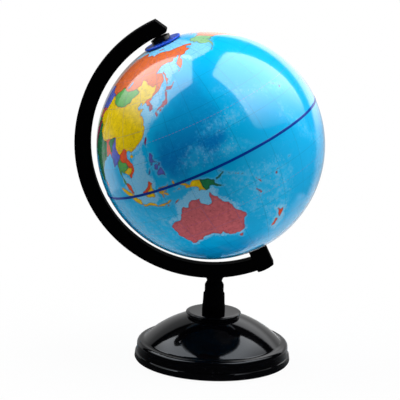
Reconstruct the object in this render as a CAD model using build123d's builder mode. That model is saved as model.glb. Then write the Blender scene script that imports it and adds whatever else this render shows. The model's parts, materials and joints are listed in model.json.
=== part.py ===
from build123d import *
import os
from math import cos, radians, sin, sqrt

os.makedirs("parts", exist_ok=True)

# Lengths are in millimetres. The column stands on the origin, X runs to the arm's open side, Z is up.
# Ball, and where it hangs over the column
ball_r = 71.0
shell_wall = 1.4
pole_cut = 0.8
pole_wall = 2.2
seam_half = 0.8
ball_x = -5.2
axis_tilt = 26.5

# Clearances
run_gap = 0.05
glue_gap = 0.05
bush_gap = 0.02
key_gap = 0.05
cover_gap = 0.1
screw_gap = 0.1

# Axle, and what sits on it
axle_r = 2.0
axle_seat = 5.8
bush_wall, bush_length, bush_proud = 2.95, 9.85, 0.15
flange_reach, flange_thick, seat_room = 4.0, 1.7, 1.0
tube_wall, tube_gap = 1.2, 0.4
washer_inset, washer_thick, thrust_thick = 0.4, 0.25, 0.55
dial_r, dial_thick, dial_air = 11.9, 1.2, 0.4
hour_marks = 24
mark_long, mark_wide, mark_deep, mark_inset = 1.5, 0.4, 0.15, 1.6
hub_r, hub_tall = 6.2, 2.4
hub_neck_r, hub_neck_tall, hub_sink, hub_gap = 2.9, 1.8, 0.23, 0.3
lip_half, lip_wall = 6.0, 1.65
band_sink, band_proud = 0.3, 0.2

# Meridian arm
arm_gap, arm_width = 3.5, 9.0
arm_depth, nose_depth, tail_depth = 9.8, 9.62, 8.02
rail_round = 0.8
nose_top_x, nose_foot_x, nose_reach, nose_rise, nose_round = 1.8, 4.6, 1.9, 1.33, 1.1
boss_back, boss_front, boss_width, boss_rise, boss_round = 6.6, 4.6, 10.0, 6.07, 0.9
boss_step_back, boss_step_mid, boss_step_front = 1.15, 1.22, 0.27

# Column
foot_r, waist_r, top_r = 7.3, 7.0, 6.0
foot_tall, waist_tall, top_tall, cap_tall = 4.3, 7.4, 5.6, 2.3
neck_r, neck_flare_r, neck_tall, neck_sink = 4.75, 5.75, 2.86, 1.74
key_r, key_flat, key_tall, key_room = 3.6, 2.7, 10.5, 0.4
spigot_r, spigot_drop = 5.0, 0.1
stem_r, stem_gap, stem_bite, stem_room = 1.5, 0.2, 5.2, 1.8
stem_head_r, stem_head_tall = 3.3, 2.2
swivel_reach, swivel_thick = 2.0, 1.0

# Collar and base
collar_r, collar_tall, bead_tall = 16.2, 3.1, 1.4
rim_out, bead_out, bead_gap = 1.25, 0.6, 0.15
shoulder_in, shoulder_drop = 1.7, 0.35
sleeve_wall = 1.95
base_r, step_in, ledge_wide = 49.25, 1.25, 2.8
cove_wide, cove_tall, cove_bow = 2.6, 1.1, 0.34
rim_z, skirt_tall, ledge_tall, dome_rise, dome_bow = 0.5, 3.7, 7.8, 16.2, 1.75
rim_wall, skirt_wall, crown_wall = 2.25, 2.4, 2.6
dome_wall_in, dome_wall_down = 1.4, 1.9
pad_thick, pad_inset, cover_thick = 1.2, 0.5, 1.6
post_ring_r, post_r, pilot_r, pilot_deep = 33.0, 3.2, 1.1, 8.0
screw_bite, screw_head_r, screw_head_tall = 7.0, 2.4, 1.3

# Heights up the column
cover_low = pad_thick
cover_high = cover_low + cover_thick
skirt_z = rim_z + skirt_tall
ledge_z = skirt_z + ledge_tall
collar_low = ledge_z + dome_rise
crown_low = collar_low - crown_wall
spigot_z = crown_low - spigot_drop
collar_high = collar_low + collar_tall
waist_z = collar_high + foot_tall
top_z = waist_z + waist_tall
cap_z = top_z + top_tall
neck_z = cap_z + cap_tall
key_z = neck_z - key_tall
arm_foot_z = neck_z + neck_tall

# Heights along the axle, from the ball's centre
pole_flat = ball_r - pole_cut
seat_height = pole_flat - pole_wall
bush_face = pole_flat + bush_proud
bush_inner = bush_face - bush_length
south_face = bush_face + thrust_thick
dial_low = bush_face + washer_thick
dial_high = dial_low + dial_thick
hub_low = dial_high + dial_air
hub_shoulder = hub_low + hub_tall
hub_high = hub_shoulder + hub_neck_tall
arm_north = hub_high - hub_sink
arm_south = south_face + boss_rise

bore_r = axle_r + run_gap
bush_r = bore_r + bush_wall
flange_r = bush_r + flange_reach
seat_r = flange_r + seat_room
washer_r = bush_r - washer_inset
sleeve_r = spigot_r + run_gap + sleeve_wall
wall_r = base_r - step_in
dome_r = wall_r - ledge_wide - cove_wide
cover_r = base_r - rim_wall - cover_gap

upright = (Align.CENTER, Align.CENTER, Align.MIN)
hanging = (Align.CENTER, Align.CENTER, Align.MAX)
tilt = radians(axis_tilt)


def on_circle(radius, x):
    return sqrt(radius**2 - x**2)


# Radius and centre of the circle that passes the ball's back and crosses the axle's line at two heights.
def arm_circle(back, top, bottom):
    half = (top + bottom) / 2
    shift = (half**2 - back**2) / (2 * back)
    return back + shift, shift, (top - bottom) / 2


arm_back = ball_r + arm_gap
arm_inner_r, arm_inner_x, arm_inner_y = arm_circle(arm_back, arm_north, arm_south)
arm_outer_r, arm_outer_x, arm_outer_y = arm_circle(arm_back + arm_depth, arm_north + nose_depth, arm_south + tail_depth)

# The ball hangs where the arm's outer circle meets the neck on the column's line.
arm_offset = ball_x + arm_outer_x * cos(tilt) - arm_outer_y * sin(tilt)
arm_drop = on_circle(arm_outer_r, arm_offset) - arm_outer_x * sin(tilt) - arm_outer_y * cos(tilt)
ball_z = arm_foot_z + arm_drop

ball = Vector(ball_x, 0, ball_z)
north = Vector(-sin(tilt), 0, cos(tilt))
across = Vector(cos(tilt), 0, sin(tilt))
axial = Plane(origin=ball, x_dir=across, z_dir=(0, -1, 0))
spin = Axis(ball, north)


def level(h):
    return Plane(origin=ball + north * h, x_dir=across, z_dir=north)


def on_inner(x, side):
    return (x, arm_inner_y + side * on_circle(arm_inner_r, x - arm_inner_x))


def on_outer(x, side, out=0.0):
    return (x, arm_outer_y + side * (on_circle(arm_outer_r, x - arm_outer_x) + out))


def bowed(start, end, rise):
    (x0, y0), (x1, y1) = start, end
    long = sqrt((x1 - x0) ** 2 + (y1 - y0) ** 2)
    return ((x0 + x1) / 2 + (y1 - y0) / long * rise, (y0 + y1) / 2 + (x0 - x1) / long * rise)


def finish(node, name):
    node.part.label = name
    export_step(node.part, f"parts/{name}.step")


def post_spots(z):
    return [(post_ring_r * cos(radians(a)), post_ring_r * sin(radians(a)), z) for a in (0, 120, 240)]


# Base: a hollow dome with a stepped skirt. The cavity leaves three posts for the cover's screws.
with BuildPart() as cavity:
    with BuildSketch(Plane.XZ):
        with BuildLine():
            pocket_r = cover_r + cover_gap
            room_r = wall_r - skirt_wall
            inner_foot = (dome_r - dome_wall_in, ledge_z + cove_tall - dome_wall_down)
            inner_top = (collar_r - 0.1, crown_low)
            Polyline((0, rim_z), (pocket_r, rim_z), (pocket_r, cover_high), (room_r, cover_high),
                     (room_r, ledge_z - dome_wall_down - 1.3), (room_r - 1.0, ledge_z - dome_wall_down - 0.4), inner_foot)
            ThreePointArc(inner_foot, bowed(inner_foot, inner_top, dome_bow), inner_top)
            Polyline(inner_top, (0, crown_low), (0, rim_z))
        make_face()
    revolve(axis=Axis.Z)
    with Locations(*post_spots(cover_high)):
        Cylinder(post_r, collar_low - cover_high, align=upright, mode=Mode.SUBTRACT)

with BuildPart() as base_shell:
    with BuildSketch(Plane.XZ):
        with BuildLine():
            wall_top = (wall_r - 0.2, ledge_z - 2.7)
            ledge_edge = (wall_r - 2.0, ledge_z - 0.1)
            ledge_in = (wall_r - ledge_wide, ledge_z)
            dome_foot = (dome_r, ledge_z + cove_tall)
            dome_top = (collar_r + 0.5, collar_low)
            Polyline((0, rim_z), (base_r - 0.45, rim_z), (base_r, rim_z + 0.7), (base_r - 0.4, skirt_z),
                     (wall_r + 0.55, skirt_z + 0.4), (wall_r, skirt_z + 0.6), wall_top)
            ThreePointArc(wall_top, (wall_r - 0.8, ledge_z - 0.9), ledge_edge)
            Line(ledge_edge, ledge_in)
            ThreePointArc(ledge_in, bowed(ledge_in, dome_foot, -cove_bow), dome_foot)
            ThreePointArc(dome_foot, bowed(dome_foot, dome_top, dome_bow), dome_top)
            Polyline(dome_top, (0, collar_low), (0, rim_z))
        make_face()
    revolve(axis=Axis.Z)
    add(cavity.part, mode=Mode.SUBTRACT)
    with Locations((0, 0, collar_low)):
        Cylinder(sleeve_r, 4 * crown_wall, mode=Mode.SUBTRACT)
    with Locations(*post_spots(cover_high)):
        Cylinder(pilot_r, pilot_deep, align=upright, mode=Mode.SUBTRACT)
finish(base_shell, "base_shell")

# Collar disc with a double bead. Its sleeve passes down through the dome and guides the column's spigot.
with BuildPart() as collar_disc:
    with BuildSketch(Plane.XZ):
        with BuildLine():
            bore = spigot_r + run_gap
            bead_z = collar_low + bead_tall
            rim_low = bead_z + bead_gap
            rim_core = collar_r + rim_out - (collar_high - rim_low) / 2
            shoulder = (rim_core, collar_high - shoulder_drop)
            flat_edge = (rim_core - shoulder_in, collar_high)
            Polyline((bore, crown_low), (sleeve_r, crown_low), (sleeve_r, collar_low), (collar_r, collar_low))
            ThreePointArc((collar_r, collar_low), (collar_r + bead_out, (collar_low + bead_z) / 2), (collar_r, bead_z))
            Polyline((collar_r, bead_z), (collar_r, rim_low), (rim_core, rim_low))
            ThreePointArc((rim_core, rim_low), (collar_r + rim_out, (rim_low + shoulder[1]) / 2), shoulder)
            ThreePointArc(shoulder, bowed(shoulder, flat_edge, shoulder_drop / 4), flat_edge)
            Polyline(flat_edge, (bore, collar_high), (bore, crown_low))
        make_face()
    revolve(axis=Axis.Z)
finish(collar_disc, "collar_disc")

with BuildPart() as cover_plate:
    with Locations((0, 0, cover_low)):
        Cylinder(cover_r, cover_thick, align=upright)
    chamfer(cover_plate.faces().sort_by(Axis.Z)[0].edges(), 0.3)
    with Locations(*post_spots(cover_low)):
        Cone(screw_head_r + screw_gap, pilot_r + screw_gap, screw_head_tall, align=upright, mode=Mode.SUBTRACT)
        Cylinder(pilot_r + screw_gap, 3 * cover_thick, mode=Mode.SUBTRACT)
finish(cover_plate, "cover_plate")

with BuildPart() as cover_screws:
    with Locations(*post_spots(cover_low)):
        Cone(screw_head_r, pilot_r, screw_head_tall, align=upright)
        Cylinder(pilot_r, cover_thick + screw_bite, align=upright)
        Box(1.25 * screw_head_r, 0.25 * screw_head_r, 0.75 * screw_head_tall, mode=Mode.SUBTRACT)
        Box(0.25 * screw_head_r, 1.25 * screw_head_r, 0.75 * screw_head_tall, mode=Mode.SUBTRACT)
finish(cover_screws, "cover_screws")

with BuildPart() as base_pad:
    Cylinder(cover_r - pad_inset, pad_thick, align=upright)
    fillet(base_pad.faces().sort_by(Axis.Z)[0].edges(), pad_thick / 3)
finish(base_pad, "base_pad")

# Stepped column: a spigot that turns in the collar below, and a keyed socket for the arm above.
with BuildPart() as column:
    with BuildSketch(Plane.XZ):
        with BuildLine():
            Polyline((0, spigot_z), (spigot_r, spigot_z), (spigot_r, collar_high), (foot_r, collar_high),
                     (foot_r - 0.1, waist_z), (waist_r, waist_z + 0.4), (waist_r - 0.3, top_z), (top_r + 0.2, top_z + 0.7),
                     (top_r, top_z + 1.0), (top_r, cap_z), (top_r - 0.3, cap_z + 0.7),
                     (neck_r, neck_z), (0, neck_z), (0, spigot_z))
        make_face()
    revolve(axis=Axis.Z)
    with BuildSketch(Plane.XY.offset(neck_z)):
        Circle(key_r + key_gap)
        with Locations((key_flat + key_gap, 0)):
            Rectangle(2 * key_r, 3 * key_r, align=(Align.MIN, Align.CENTER), mode=Mode.SUBTRACT)
    extrude(amount=-key_tall - key_room, mode=Mode.SUBTRACT)
    with Locations((0, 0, spigot_z)):
        Cylinder(stem_r + stem_gap, 2 * (key_z - spigot_z), mode=Mode.SUBTRACT)
finish(column, "column")

# Meridian arm: a bow on the open-sided circle, a slanted nose at the north, a thick boss at the south.
nose_top, nose_foot = on_outer(nose_top_x, 1), on_inner(nose_foot_x, 1)
nose_tip = (nose_foot_x + nose_reach, arm_north + nose_rise)
tail_out, tail_in = on_outer(boss_front - 1, -1), on_inner(boss_front - 1, -1)

with BuildPart() as bow:
    with BuildSketch(axial):
        with BuildLine():
            ThreePointArc(nose_top, (-arm_back - arm_depth, arm_outer_y), tail_out)
            Line(tail_out, tail_in)
            ThreePointArc(tail_in, (-arm_back, arm_inner_y), nose_foot)
            Polyline(nose_foot, nose_tip, nose_top)
        make_face()
    extrude(amount=arm_width / 2, both=True)
    fillet(bow.edges().filter_by(Axis.Y).sort_by_distance(axial.from_local_coords(nose_tip))[0], nose_round)
    rails = [e for e in bow.edges().filter_by(GeomType.CIRCLE) if e.radius > ball_r]
    fillet(rails, rail_round)

with BuildPart() as boss:
    with BuildSketch(axial):
        with BuildLine():
            back_foot = on_outer(-boss_back, -1, boss_step_back)
            front_foot = on_outer(boss_front, -1, boss_step_front)
            Polyline(back_foot, (-boss_back, -south_face), (boss_front, -south_face), front_foot)
            ThreePointArc(front_foot, on_outer((boss_front - boss_back) / 2, -1, boss_step_mid), back_foot)
        make_face()
    extrude(amount=boss_width / 2, both=True)
    fillet(boss.edges(), boss_round)

with BuildPart() as neck:
    with BuildSketch(Plane.XZ):
        with BuildLine():
            flare_foot, flare_top = (neck_r, neck_z + 0.3), (neck_flare_r, arm_foot_z - 0.26)
            Polyline((0, neck_z), (neck_r, neck_z), flare_foot)
            ThreePointArc(flare_foot, bowed(flare_foot, flare_top, -0.12), flare_top)
            Polyline(flare_top, (neck_flare_r, arm_foot_z + neck_sink), (0, arm_foot_z + neck_sink), (0, neck_z))
        make_face()
    revolve(axis=Axis.Z)
    Box(4 * neck_flare_r, arm_width, 4 * ball_z, mode=Mode.INTERSECT)
    with BuildSketch(Plane.XY.offset(key_z)):
        Circle(key_r)
        with Locations((key_flat, 0)):
            Rectangle(2 * key_r, 3 * key_r, align=(Align.MIN, Align.CENTER), mode=Mode.SUBTRACT)
    extrude(amount=key_tall)
    with Locations((0, 0, key_z)):
        Cylinder(stem_r, stem_bite + stem_room, align=upright, mode=Mode.SUBTRACT)

with BuildPart() as meridian_arm:
    add([bow.part, boss.part, neck.part])
    with BuildSketch(level(0)):
        Circle(axle_r)
    extrude(amount=arm_north + axle_seat, mode=Mode.SUBTRACT)
    with BuildSketch(level(0)):
        Circle(hub_neck_r + hub_gap)
    extrude(amount=hub_high, mode=Mode.SUBTRACT)
    with BuildSketch(level(0)):
        Circle(axle_r)
    extrude(amount=-arm_south - axle_seat, mode=Mode.SUBTRACT)
finish(meridian_arm, "meridian_arm")

with BuildPart() as stem_screw:
    head_z = spigot_z - swivel_thick
    with Locations((0, 0, head_z)):
        Cylinder(stem_head_r, stem_head_tall, align=hanging)
        Cylinder(stem_r, key_z + stem_bite - head_z, align=upright)
    fillet(stem_screw.faces().sort_by(Axis.Z)[0].edges(), 0.8)
    with Locations((0, 0, head_z - stem_head_tall)):
        Box(2 * stem_head_r - 2.4, 0.8, stem_head_tall, mode=Mode.SUBTRACT)
        Box(0.8, 2 * stem_head_r - 2.4, stem_head_tall, mode=Mode.SUBTRACT)
finish(stem_screw, "stem_screw")

with BuildPart() as swivel_washer:
    with Locations((0, 0, spigot_z)):
        Cylinder(sleeve_r + swivel_reach, swivel_thick, align=hanging)
        Cylinder(stem_r + stem_gap, 3 * swivel_thick, mode=Mode.SUBTRACT)
finish(swivel_washer, "swivel_washer")

# Axle and what it carries, all round the leaning axis
with BuildPart() as axle_rod:
    with BuildSketch(level(-arm_south - axle_seat)):
        Circle(axle_r)
    extrude(amount=arm_north + arm_south + 2 * axle_seat)
    chamfer(axle_rod.edges(), 0.3)
finish(axle_rod, "axle_rod")

with BuildPart() as dial_hub:
    with BuildSketch(axial):
        with BuildLine():
            Polyline((axle_r, hub_low), (hub_r - 0.3, hub_low), (hub_r, hub_low + 0.3), (hub_r, hub_shoulder),
                     (hub_neck_r + 0.6, hub_shoulder + 0.8), (hub_neck_r, hub_shoulder + 0.9),
                     (hub_neck_r, hub_high), (axle_r, hub_high), (axle_r, hub_low))
        make_face()
    revolve(axis=spin)
finish(dial_hub, "dial_hub")

with BuildPart() as time_dial:
    with BuildSketch(axial):
        with BuildLine():
            edge = dial_r - dial_thick / 3
            Polyline((bore_r, dial_high), (bore_r, dial_low), (edge, dial_low))
            ThreePointArc((edge, dial_low), (dial_r, (dial_low + dial_high) / 2), (edge, dial_high))
            Line((edge, dial_high), (bore_r, dial_high))
        make_face()
    revolve(axis=spin)
    with Locations(level(dial_high)):
        with PolarLocations(dial_r - mark_inset, hour_marks):
            Box(mark_long, mark_wide, 2 * mark_deep, mode=Mode.SUBTRACT)
finish(time_dial, "time_dial")

with BuildPart() as dial_washer:
    with BuildSketch(level(bush_face)):
        Circle(washer_r)
        Circle(bore_r, mode=Mode.SUBTRACT)
    extrude(amount=washer_thick)
finish(dial_washer, "dial_washer")

with BuildPart() as thrust_washer:
    with BuildSketch(level(-south_face)):
        Circle(washer_r)
        Circle(bore_r, mode=Mode.SUBTRACT)
    extrude(amount=thrust_thick)
finish(thrust_washer, "thrust_washer")


# Half shell of the ball: a flat seat inside the pole takes the bush's flange.
def half_shell(side):
    inner_r = ball_r - shell_wall
    hole = bush_r + bush_gap
    outer_rim = (on_circle(ball_r, seam_half), side * seam_half)
    inner_rim = (on_circle(inner_r, seam_half), side * seam_half)
    with BuildSketch(axial) as section:
        with BuildLine():
            flat_edge = (on_circle(ball_r, pole_flat), side * pole_flat)
            ThreePointArc(outer_rim, (ball_r * cos(0.75), side * ball_r * sin(0.75)), flat_edge)
            Polyline(flat_edge, (hole, side * pole_flat), (hole, side * seat_height),
                     (seat_r, side * seat_height), (seat_r, side * on_circle(inner_r, seat_r)))
            ThreePointArc((seat_r, side * on_circle(inner_r, seat_r)),
                          (inner_r * cos(0.75), side * inner_r * sin(0.75)), inner_rim)
            Line(inner_rim, outer_rim)
        make_face()
    revolve(section.sketch, axis=spin)


def pole_bush(side):
    with BuildSketch(axial) as section:
        with BuildLine():
            Polyline(*[(r, side * h) for r, h in (
                (bore_r, bush_inner), (bush_r, bush_inner), (bush_r, seat_height - flange_thick),
                (flange_r, seat_height - flange_thick), (flange_r, seat_height), (bush_r, seat_height),
                (bush_r, bush_face - 0.2), (bush_r - 0.2, bush_face), (bore_r, bush_face), (bore_r, bush_inner))])
        make_face()
    revolve(section.sketch, axis=spin)


with BuildPart() as north_hemisphere:
    half_shell(1)
finish(north_hemisphere, "north_hemisphere")

with BuildPart() as south_hemisphere:
    half_shell(-1)
finish(south_hemisphere, "south_hemisphere")

with BuildPart() as north_bush:
    pole_bush(1)
finish(north_bush, "north_bush")

with BuildPart() as south_bush:
    pole_bush(-1)
finish(south_bush, "south_bush")

with BuildPart() as axle_sleeve:
    with BuildSketch(level(-bush_inner)):
        Circle(axle_r + tube_gap + tube_wall)
        Circle(axle_r + tube_gap, mode=Mode.SUBTRACT)
    extrude(amount=2 * bush_inner)
finish(axle_sleeve, "axle_sleeve")

# Coupling ring: a rib between the half shells' rims and a lip inside each. The band lies round the rib.
lip_r = ball_r - shell_wall - glue_gap
rib_r = ball_r - band_sink
with BuildPart() as coupling_ring:
    with BuildSketch(axial):
        with BuildLine():
            lip_mid = (lip_half + seam_half) / 2
            for side in (1, -1):
                rim = (on_circle(lip_r, seam_half), side * seam_half)
                tip = (on_circle(lip_r, lip_half), side * lip_half)
                ThreePointArc(rim, (on_circle(lip_r, lip_mid), side * lip_mid), tip)
                Polyline(tip, (lip_r - lip_wall, side * lip_half), (lip_r - lip_wall, 0))
                Polyline(rim, (rib_r, side * seam_half), (rib_r, 0))
        make_face()
    revolve(axis=spin)
finish(coupling_ring, "coupling_ring")

with BuildPart() as equator_band:
    with BuildSketch(axial):
        with BuildLine():
            band_r = ball_r + band_proud
            Polyline((rib_r, -seam_half), (band_r - 0.1, -seam_half), (band_r, 0.2 - seam_half), (band_r, seam_half - 0.2),
                     (band_r - 0.1, seam_half), (rib_r, seam_half), (rib_r, -seam_half))
        make_face()
    revolve(axis=spin)
finish(equator_band, "equator_band")
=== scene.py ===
import bpy
import json
import re
import numpy as np
from math import cos, pi, radians, sin
from mathutils import Matrix, Vector


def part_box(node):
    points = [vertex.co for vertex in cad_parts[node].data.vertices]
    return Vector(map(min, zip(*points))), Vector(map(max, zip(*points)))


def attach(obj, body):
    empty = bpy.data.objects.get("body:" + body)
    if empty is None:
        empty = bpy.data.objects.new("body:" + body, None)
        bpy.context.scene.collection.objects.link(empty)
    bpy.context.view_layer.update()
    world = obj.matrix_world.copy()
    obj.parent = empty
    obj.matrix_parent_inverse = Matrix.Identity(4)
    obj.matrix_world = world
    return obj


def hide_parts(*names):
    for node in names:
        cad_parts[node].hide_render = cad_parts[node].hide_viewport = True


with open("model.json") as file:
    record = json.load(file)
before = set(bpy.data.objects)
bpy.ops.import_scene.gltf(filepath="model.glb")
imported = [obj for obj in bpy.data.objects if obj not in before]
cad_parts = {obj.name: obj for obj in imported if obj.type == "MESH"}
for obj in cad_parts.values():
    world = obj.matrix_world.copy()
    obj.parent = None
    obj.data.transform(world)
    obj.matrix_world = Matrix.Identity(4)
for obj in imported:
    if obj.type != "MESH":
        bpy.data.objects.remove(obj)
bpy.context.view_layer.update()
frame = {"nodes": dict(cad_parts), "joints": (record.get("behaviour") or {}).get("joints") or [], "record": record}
scene = bpy.context.scene
nodes = frame["nodes"]
print("frame loaded:", len(nodes), "nodes")

# The ball's own axes: front towards the camera side, east to its right, north along the axle
spinJoint = next(j for j in frame["joints"] if j["name"] == "globe_spin")
globeCentre = np.array(spinJoint["pos_m"], float)
northDir = np.array(spinJoint["axis"], float) / np.linalg.norm(spinJoint["axis"])
frontDir = np.array([0.0, -1.0, 0.0])
globeTurn = np.stack([frontDir, np.cross(northDir, frontDir), northDir], 1)


# small helpers for meshes and shader trees

# A grid of points (rows, columns, 3) becomes quads; wrap joins the last column to the first.
def gridFaces(rows, cols, wrap):
    r = np.arange(rows - 1)[:, None]
    c = np.arange(cols if wrap else cols - 1)[None, :]
    n = (c + 1) % cols
    quads = np.stack([r * cols + c, r * cols + n, (r + 1) * cols + n, (r + 1) * cols + c], -1)
    return quads.reshape(-1, 4)


def addMesh(name, points, faces, material):
    mesh = bpy.data.meshes.new(name)
    mesh.from_pydata(points.reshape(-1, 3).tolist(), [], faces.tolist())
    mesh.materials.append(material)
    piece = bpy.data.objects.new(name, mesh)
    scene.collection.objects.link(piece)
    return piece


def pointValues(piece, name, values):
    layer = piece.data.attributes.new(name, "FLOAT", "POINT")
    layer.data.foreach_set("value", values.astype(np.float32))


# Shader tree shorthand: place a node, set its sockets, and link what is a socket.
class Tree:
    def __init__(self, tree):
        self.tree = tree
        tree.nodes.clear()

    def link(self, source, node, socket):
        self.tree.links.new(source, node.inputs[socket])

    def add(self, kind, inputs=None, **settings):
        node = self.tree.nodes.new("ShaderNode" + kind)
        for key, value in settings.items():
            setattr(node, key, value)
        for key, value in (inputs or {}).items():
            if isinstance(value, bpy.types.NodeSocket):
                self.link(value, node, key)
            else:
                node.inputs[key].default_value = value
        return node

    def group(self, tree, *values):
        return self.add("Group", dict(enumerate(values)), node_tree=tree).outputs

    def math(self, operation, *values):
        return self.add("Math", dict(enumerate(values)), operation=operation).outputs[0]

    def times(self, first, *others):
        for other in others:
            first = self.math("MULTIPLY", first, other)
        return first

    def plus(self, a, b):
        return self.math("ADD", a, b)

    def minus(self, a, b):
        return self.math("SUBTRACT", a, b)

    def most(self, a, b):
        return self.math("MAXIMUM", a, b)

    def size(self, a):
        return self.math("ABSOLUTE", a)

    def hypot(self, a, b):
        return self.math("SQRT", self.plus(self.times(a, a), self.times(b, b)))

    # noise about zero, from half of depth below to half above
    def sway(self, noise, depth):
        return self.times(self.minus(noise, 0.5), depth)

    # bottom before start, top past full, eased between
    def step(self, value, start, full, top=1.0, bottom=0.0):
        sockets = {"Value": value, "From Min": start, "From Max": full, "To Min": bottom, "To Max": top}
        return self.add("MapRange", sockets, interpolation_type="SMOOTHSTEP").outputs[0]

    # straight from one range to another
    def scaled(self, value, low, high, newLow, newHigh):
        sockets = {"Value": value, "From Min": low, "From Max": high, "To Min": newLow, "To Max": newHigh}
        return self.add("MapRange", sockets).outputs[0]

    def blend(self, amount, a, b, kind="MIX"):
        return self.add("Mix", {0: amount, 6: a, 7: b}, data_type="RGBA", blend_type=kind).outputs[2]

    def noise(self, vector, scale, detail, rough=0.5, twist=0.0, output="Fac"):
        sockets = {"Vector": vector, "Scale": scale, "Detail": detail, "Roughness": rough}
        return self.add("TexNoise", {**sockets, "Distortion": twist}).outputs[output]

    def cells(self, vector, scale, feature="F1"):
        return self.add("TexVoronoi", {"Vector": vector, "Scale": scale}, feature=feature).outputs

    # distance to the middle of each cell, and 1 in the cells that one channel of a random colour picks
    def scatter(self, vector, scale, channel, above):
        cells = self.cells(vector, scale)
        lot = self.add("SeparateColor", {0: cells["Color"]}).outputs[channel]
        return cells["Distance"], self.math("GREATER_THAN", lot, above)

    def axes(self, vector):
        return self.add("SeparateXYZ", {0: vector}).outputs

    # colour, roughness and bump of a finished surface
    def dress(self, shader, colour, rough, height, bump):
        lift = self.add("Bump", {"Strength": bump[0], "Distance": bump[1], "Height": height}).outputs[0]
        for source, socket in ((colour, "Base Color"), (rough, "Roughness"), (lift, "Normal")):
            self.link(source, shader, socket)


def rgb(r, g, b):
    return (r, g, b, 1.0)


def grey(level):
    return rgb(level, level, level)


# sockets are numbers unless kinds says otherwise
def newGroup(name, inputs, outputs, kinds):
    group = bpy.data.node_groups.new(name, "ShaderNodeTree")
    for way, labels in (("INPUT", inputs), ("OUTPUT", outputs)):
        for label in labels:
            kind = "NodeSocket" + kinds.get(label, "Float")
            group.interface.new_socket(label, in_out=way, socket_type=kind)
    tree = Tree(group)
    return tree, group.nodes.new("NodeGroupInput").outputs, group.nodes.new("NodeGroupOutput")


def newMaterial(name, constants=None):
    material = bpy.data.materials.new(name)
    material.use_nodes = True
    tree = Tree(material.node_tree)
    tree.out = tree.add("OutputMaterial")
    shader = tree.add("BsdfPrincipled", constants)
    tree.link(shader.outputs[0], tree.out, 0)
    return material, tree, shader, tree.add("TexCoord").outputs["Object"]


# Place seen from the ball's centre, with z along the axle
def onAxle(tree, spot):
    lean = Matrix(globeTurn.tolist()).to_euler("XYZ")[:]
    sockets = {"Vector": spot, "Location": tuple(globeCentre), "Rotation": lean}
    return tree.add("Mapping", sockets, vector_type="TEXTURE").outputs[0]


# Shared finish: moulded skin with peel, hairlines, handling marks and settled dust.
# Noises are scale, detail and roughness; edges are where a mask starts and where it is full.
skinSet = {
    "peelDetail": 3.0, "peelDepth": 0.5, "smear": (34.0, 4.0, 0.6), "smearRange": (0.3, 0.7),
    "hair": (620.0, 4.0, 0.6), "hairTurn": (0.4, 0.9, 0.3), "hairScale": (1.0, 14.0, 1.0),
    "hairEdge": (0.63, 0.68), "hairDepth": 0.12, "hairRough": 0.05,
    "specks": 560.0, "speckEdge": (0.16, 0.07), "patch": (70.0, 3.0), "patchEdge": (0.5, 0.72),
    "dustRough": 0.4,
}


def makeSkinGroup():
    s = skinSet
    inputs = ("Place", "Peel Scale", "Rough Low", "Rough High", "Dust")
    outputs = ("Height", "Roughness", "Dust Mask")
    t, given, out = newGroup("mouldedSkin", inputs, outputs, {"Place": "Vector"})
    place = given["Place"]
    squeezed = t.add("Mapping", {"Vector": place, "Rotation": s["hairTurn"], "Scale": s["hairScale"]})
    hair = t.step(t.noise(squeezed.outputs[0], *s["hair"]), *s["hairEdge"])
    patch = t.step(t.noise(place, *s["patch"]), *s["patchEdge"])
    speck = t.step(t.cells(place, s["specks"])["Distance"], *s["speckEdge"])
    dust = t.times(speck, patch, given["Dust"])
    peel = t.noise(place, given["Peel Scale"], s["peelDetail"])
    height = t.minus(t.times(peel, s["peelDepth"]), t.times(hair, s["hairDepth"]))
    smear = t.noise(place, *s["smear"])
    rough = t.scaled(smear, *s["smearRange"], given["Rough Low"], given["Rough High"])
    rough = t.plus(t.plus(rough, t.times(hair, s["hairRough"])), t.times(dust, s["dustRough"]))
    for label, value in zip(outputs, (height, rough, dust)):
        t.link(value, out, label)
    return t.tree


skinGroup = makeSkinGroup()

# Moulded finishes: tone, dust, scale of the peel, range of roughness, bump, and how strongly they mirror.
# What a finish doesn't say is as in plainFinish.
plainFinish = {"dust": 0.3, "level": 0.5, "gloss": grey(1.0), "cloud": (55.0, 3.0), "paler": 1.5,
               "relief": 0.0002}
finishSet = {
    "baseBlack": {"tone": rgb(0.0008, 0.0008, 0.0012), "dustTone": grey(0.12), "peel": 900.0,
                  "rough": (0.04, 0.09), "bump": 0.04, "level": 0.30, "gloss": rgb(0.84, 0.91, 1.0)},
    "armBlack": {"tone": rgb(0.0008, 0.0008, 0.001), "dustTone": grey(0.06), "peel": 700.0,
                 "rough": (0.42, 0.54), "bump": 0.08, "level": 0.004},
    "hubBlack": {"tone": rgb(0.0015, 0.0015, 0.0018), "dustTone": grey(0.10), "peel": 1100.0,
                 "rough": (0.16, 0.26), "bump": 0.08},
    "coverBlack": {"tone": rgb(0.012, 0.012, 0.013), "dustTone": grey(0.3), "peel": 2600.0,
                   "rough": (0.42, 0.6), "bump": 0.35, "dust": 0.6},
    "nylonWhite": {"tone": rgb(0.5, 0.49, 0.46), "dustTone": rgb(0.4, 0.39, 0.36), "peel": 1500.0,
                   "rough": (0.35, 0.5), "bump": 0.15},
    "bandBlue": {"tone": rgb(0.0, 0.028, 0.22), "dustTone": rgb(0.2, 0.2, 0.25), "peel": 1200.0,
                 "rough": (0.14, 0.24), "bump": 0.06, "level": 0.25, "dust": 0.2},
    "dialBlue": {"tone": rgb(0.006, 0.052, 0.42), "dustTone": rgb(0.1, 0.15, 0.4), "peel": 1100.0,
                 "rough": (0.25, 0.36), "bump": 0.06, "level": 0.2},
}


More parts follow.
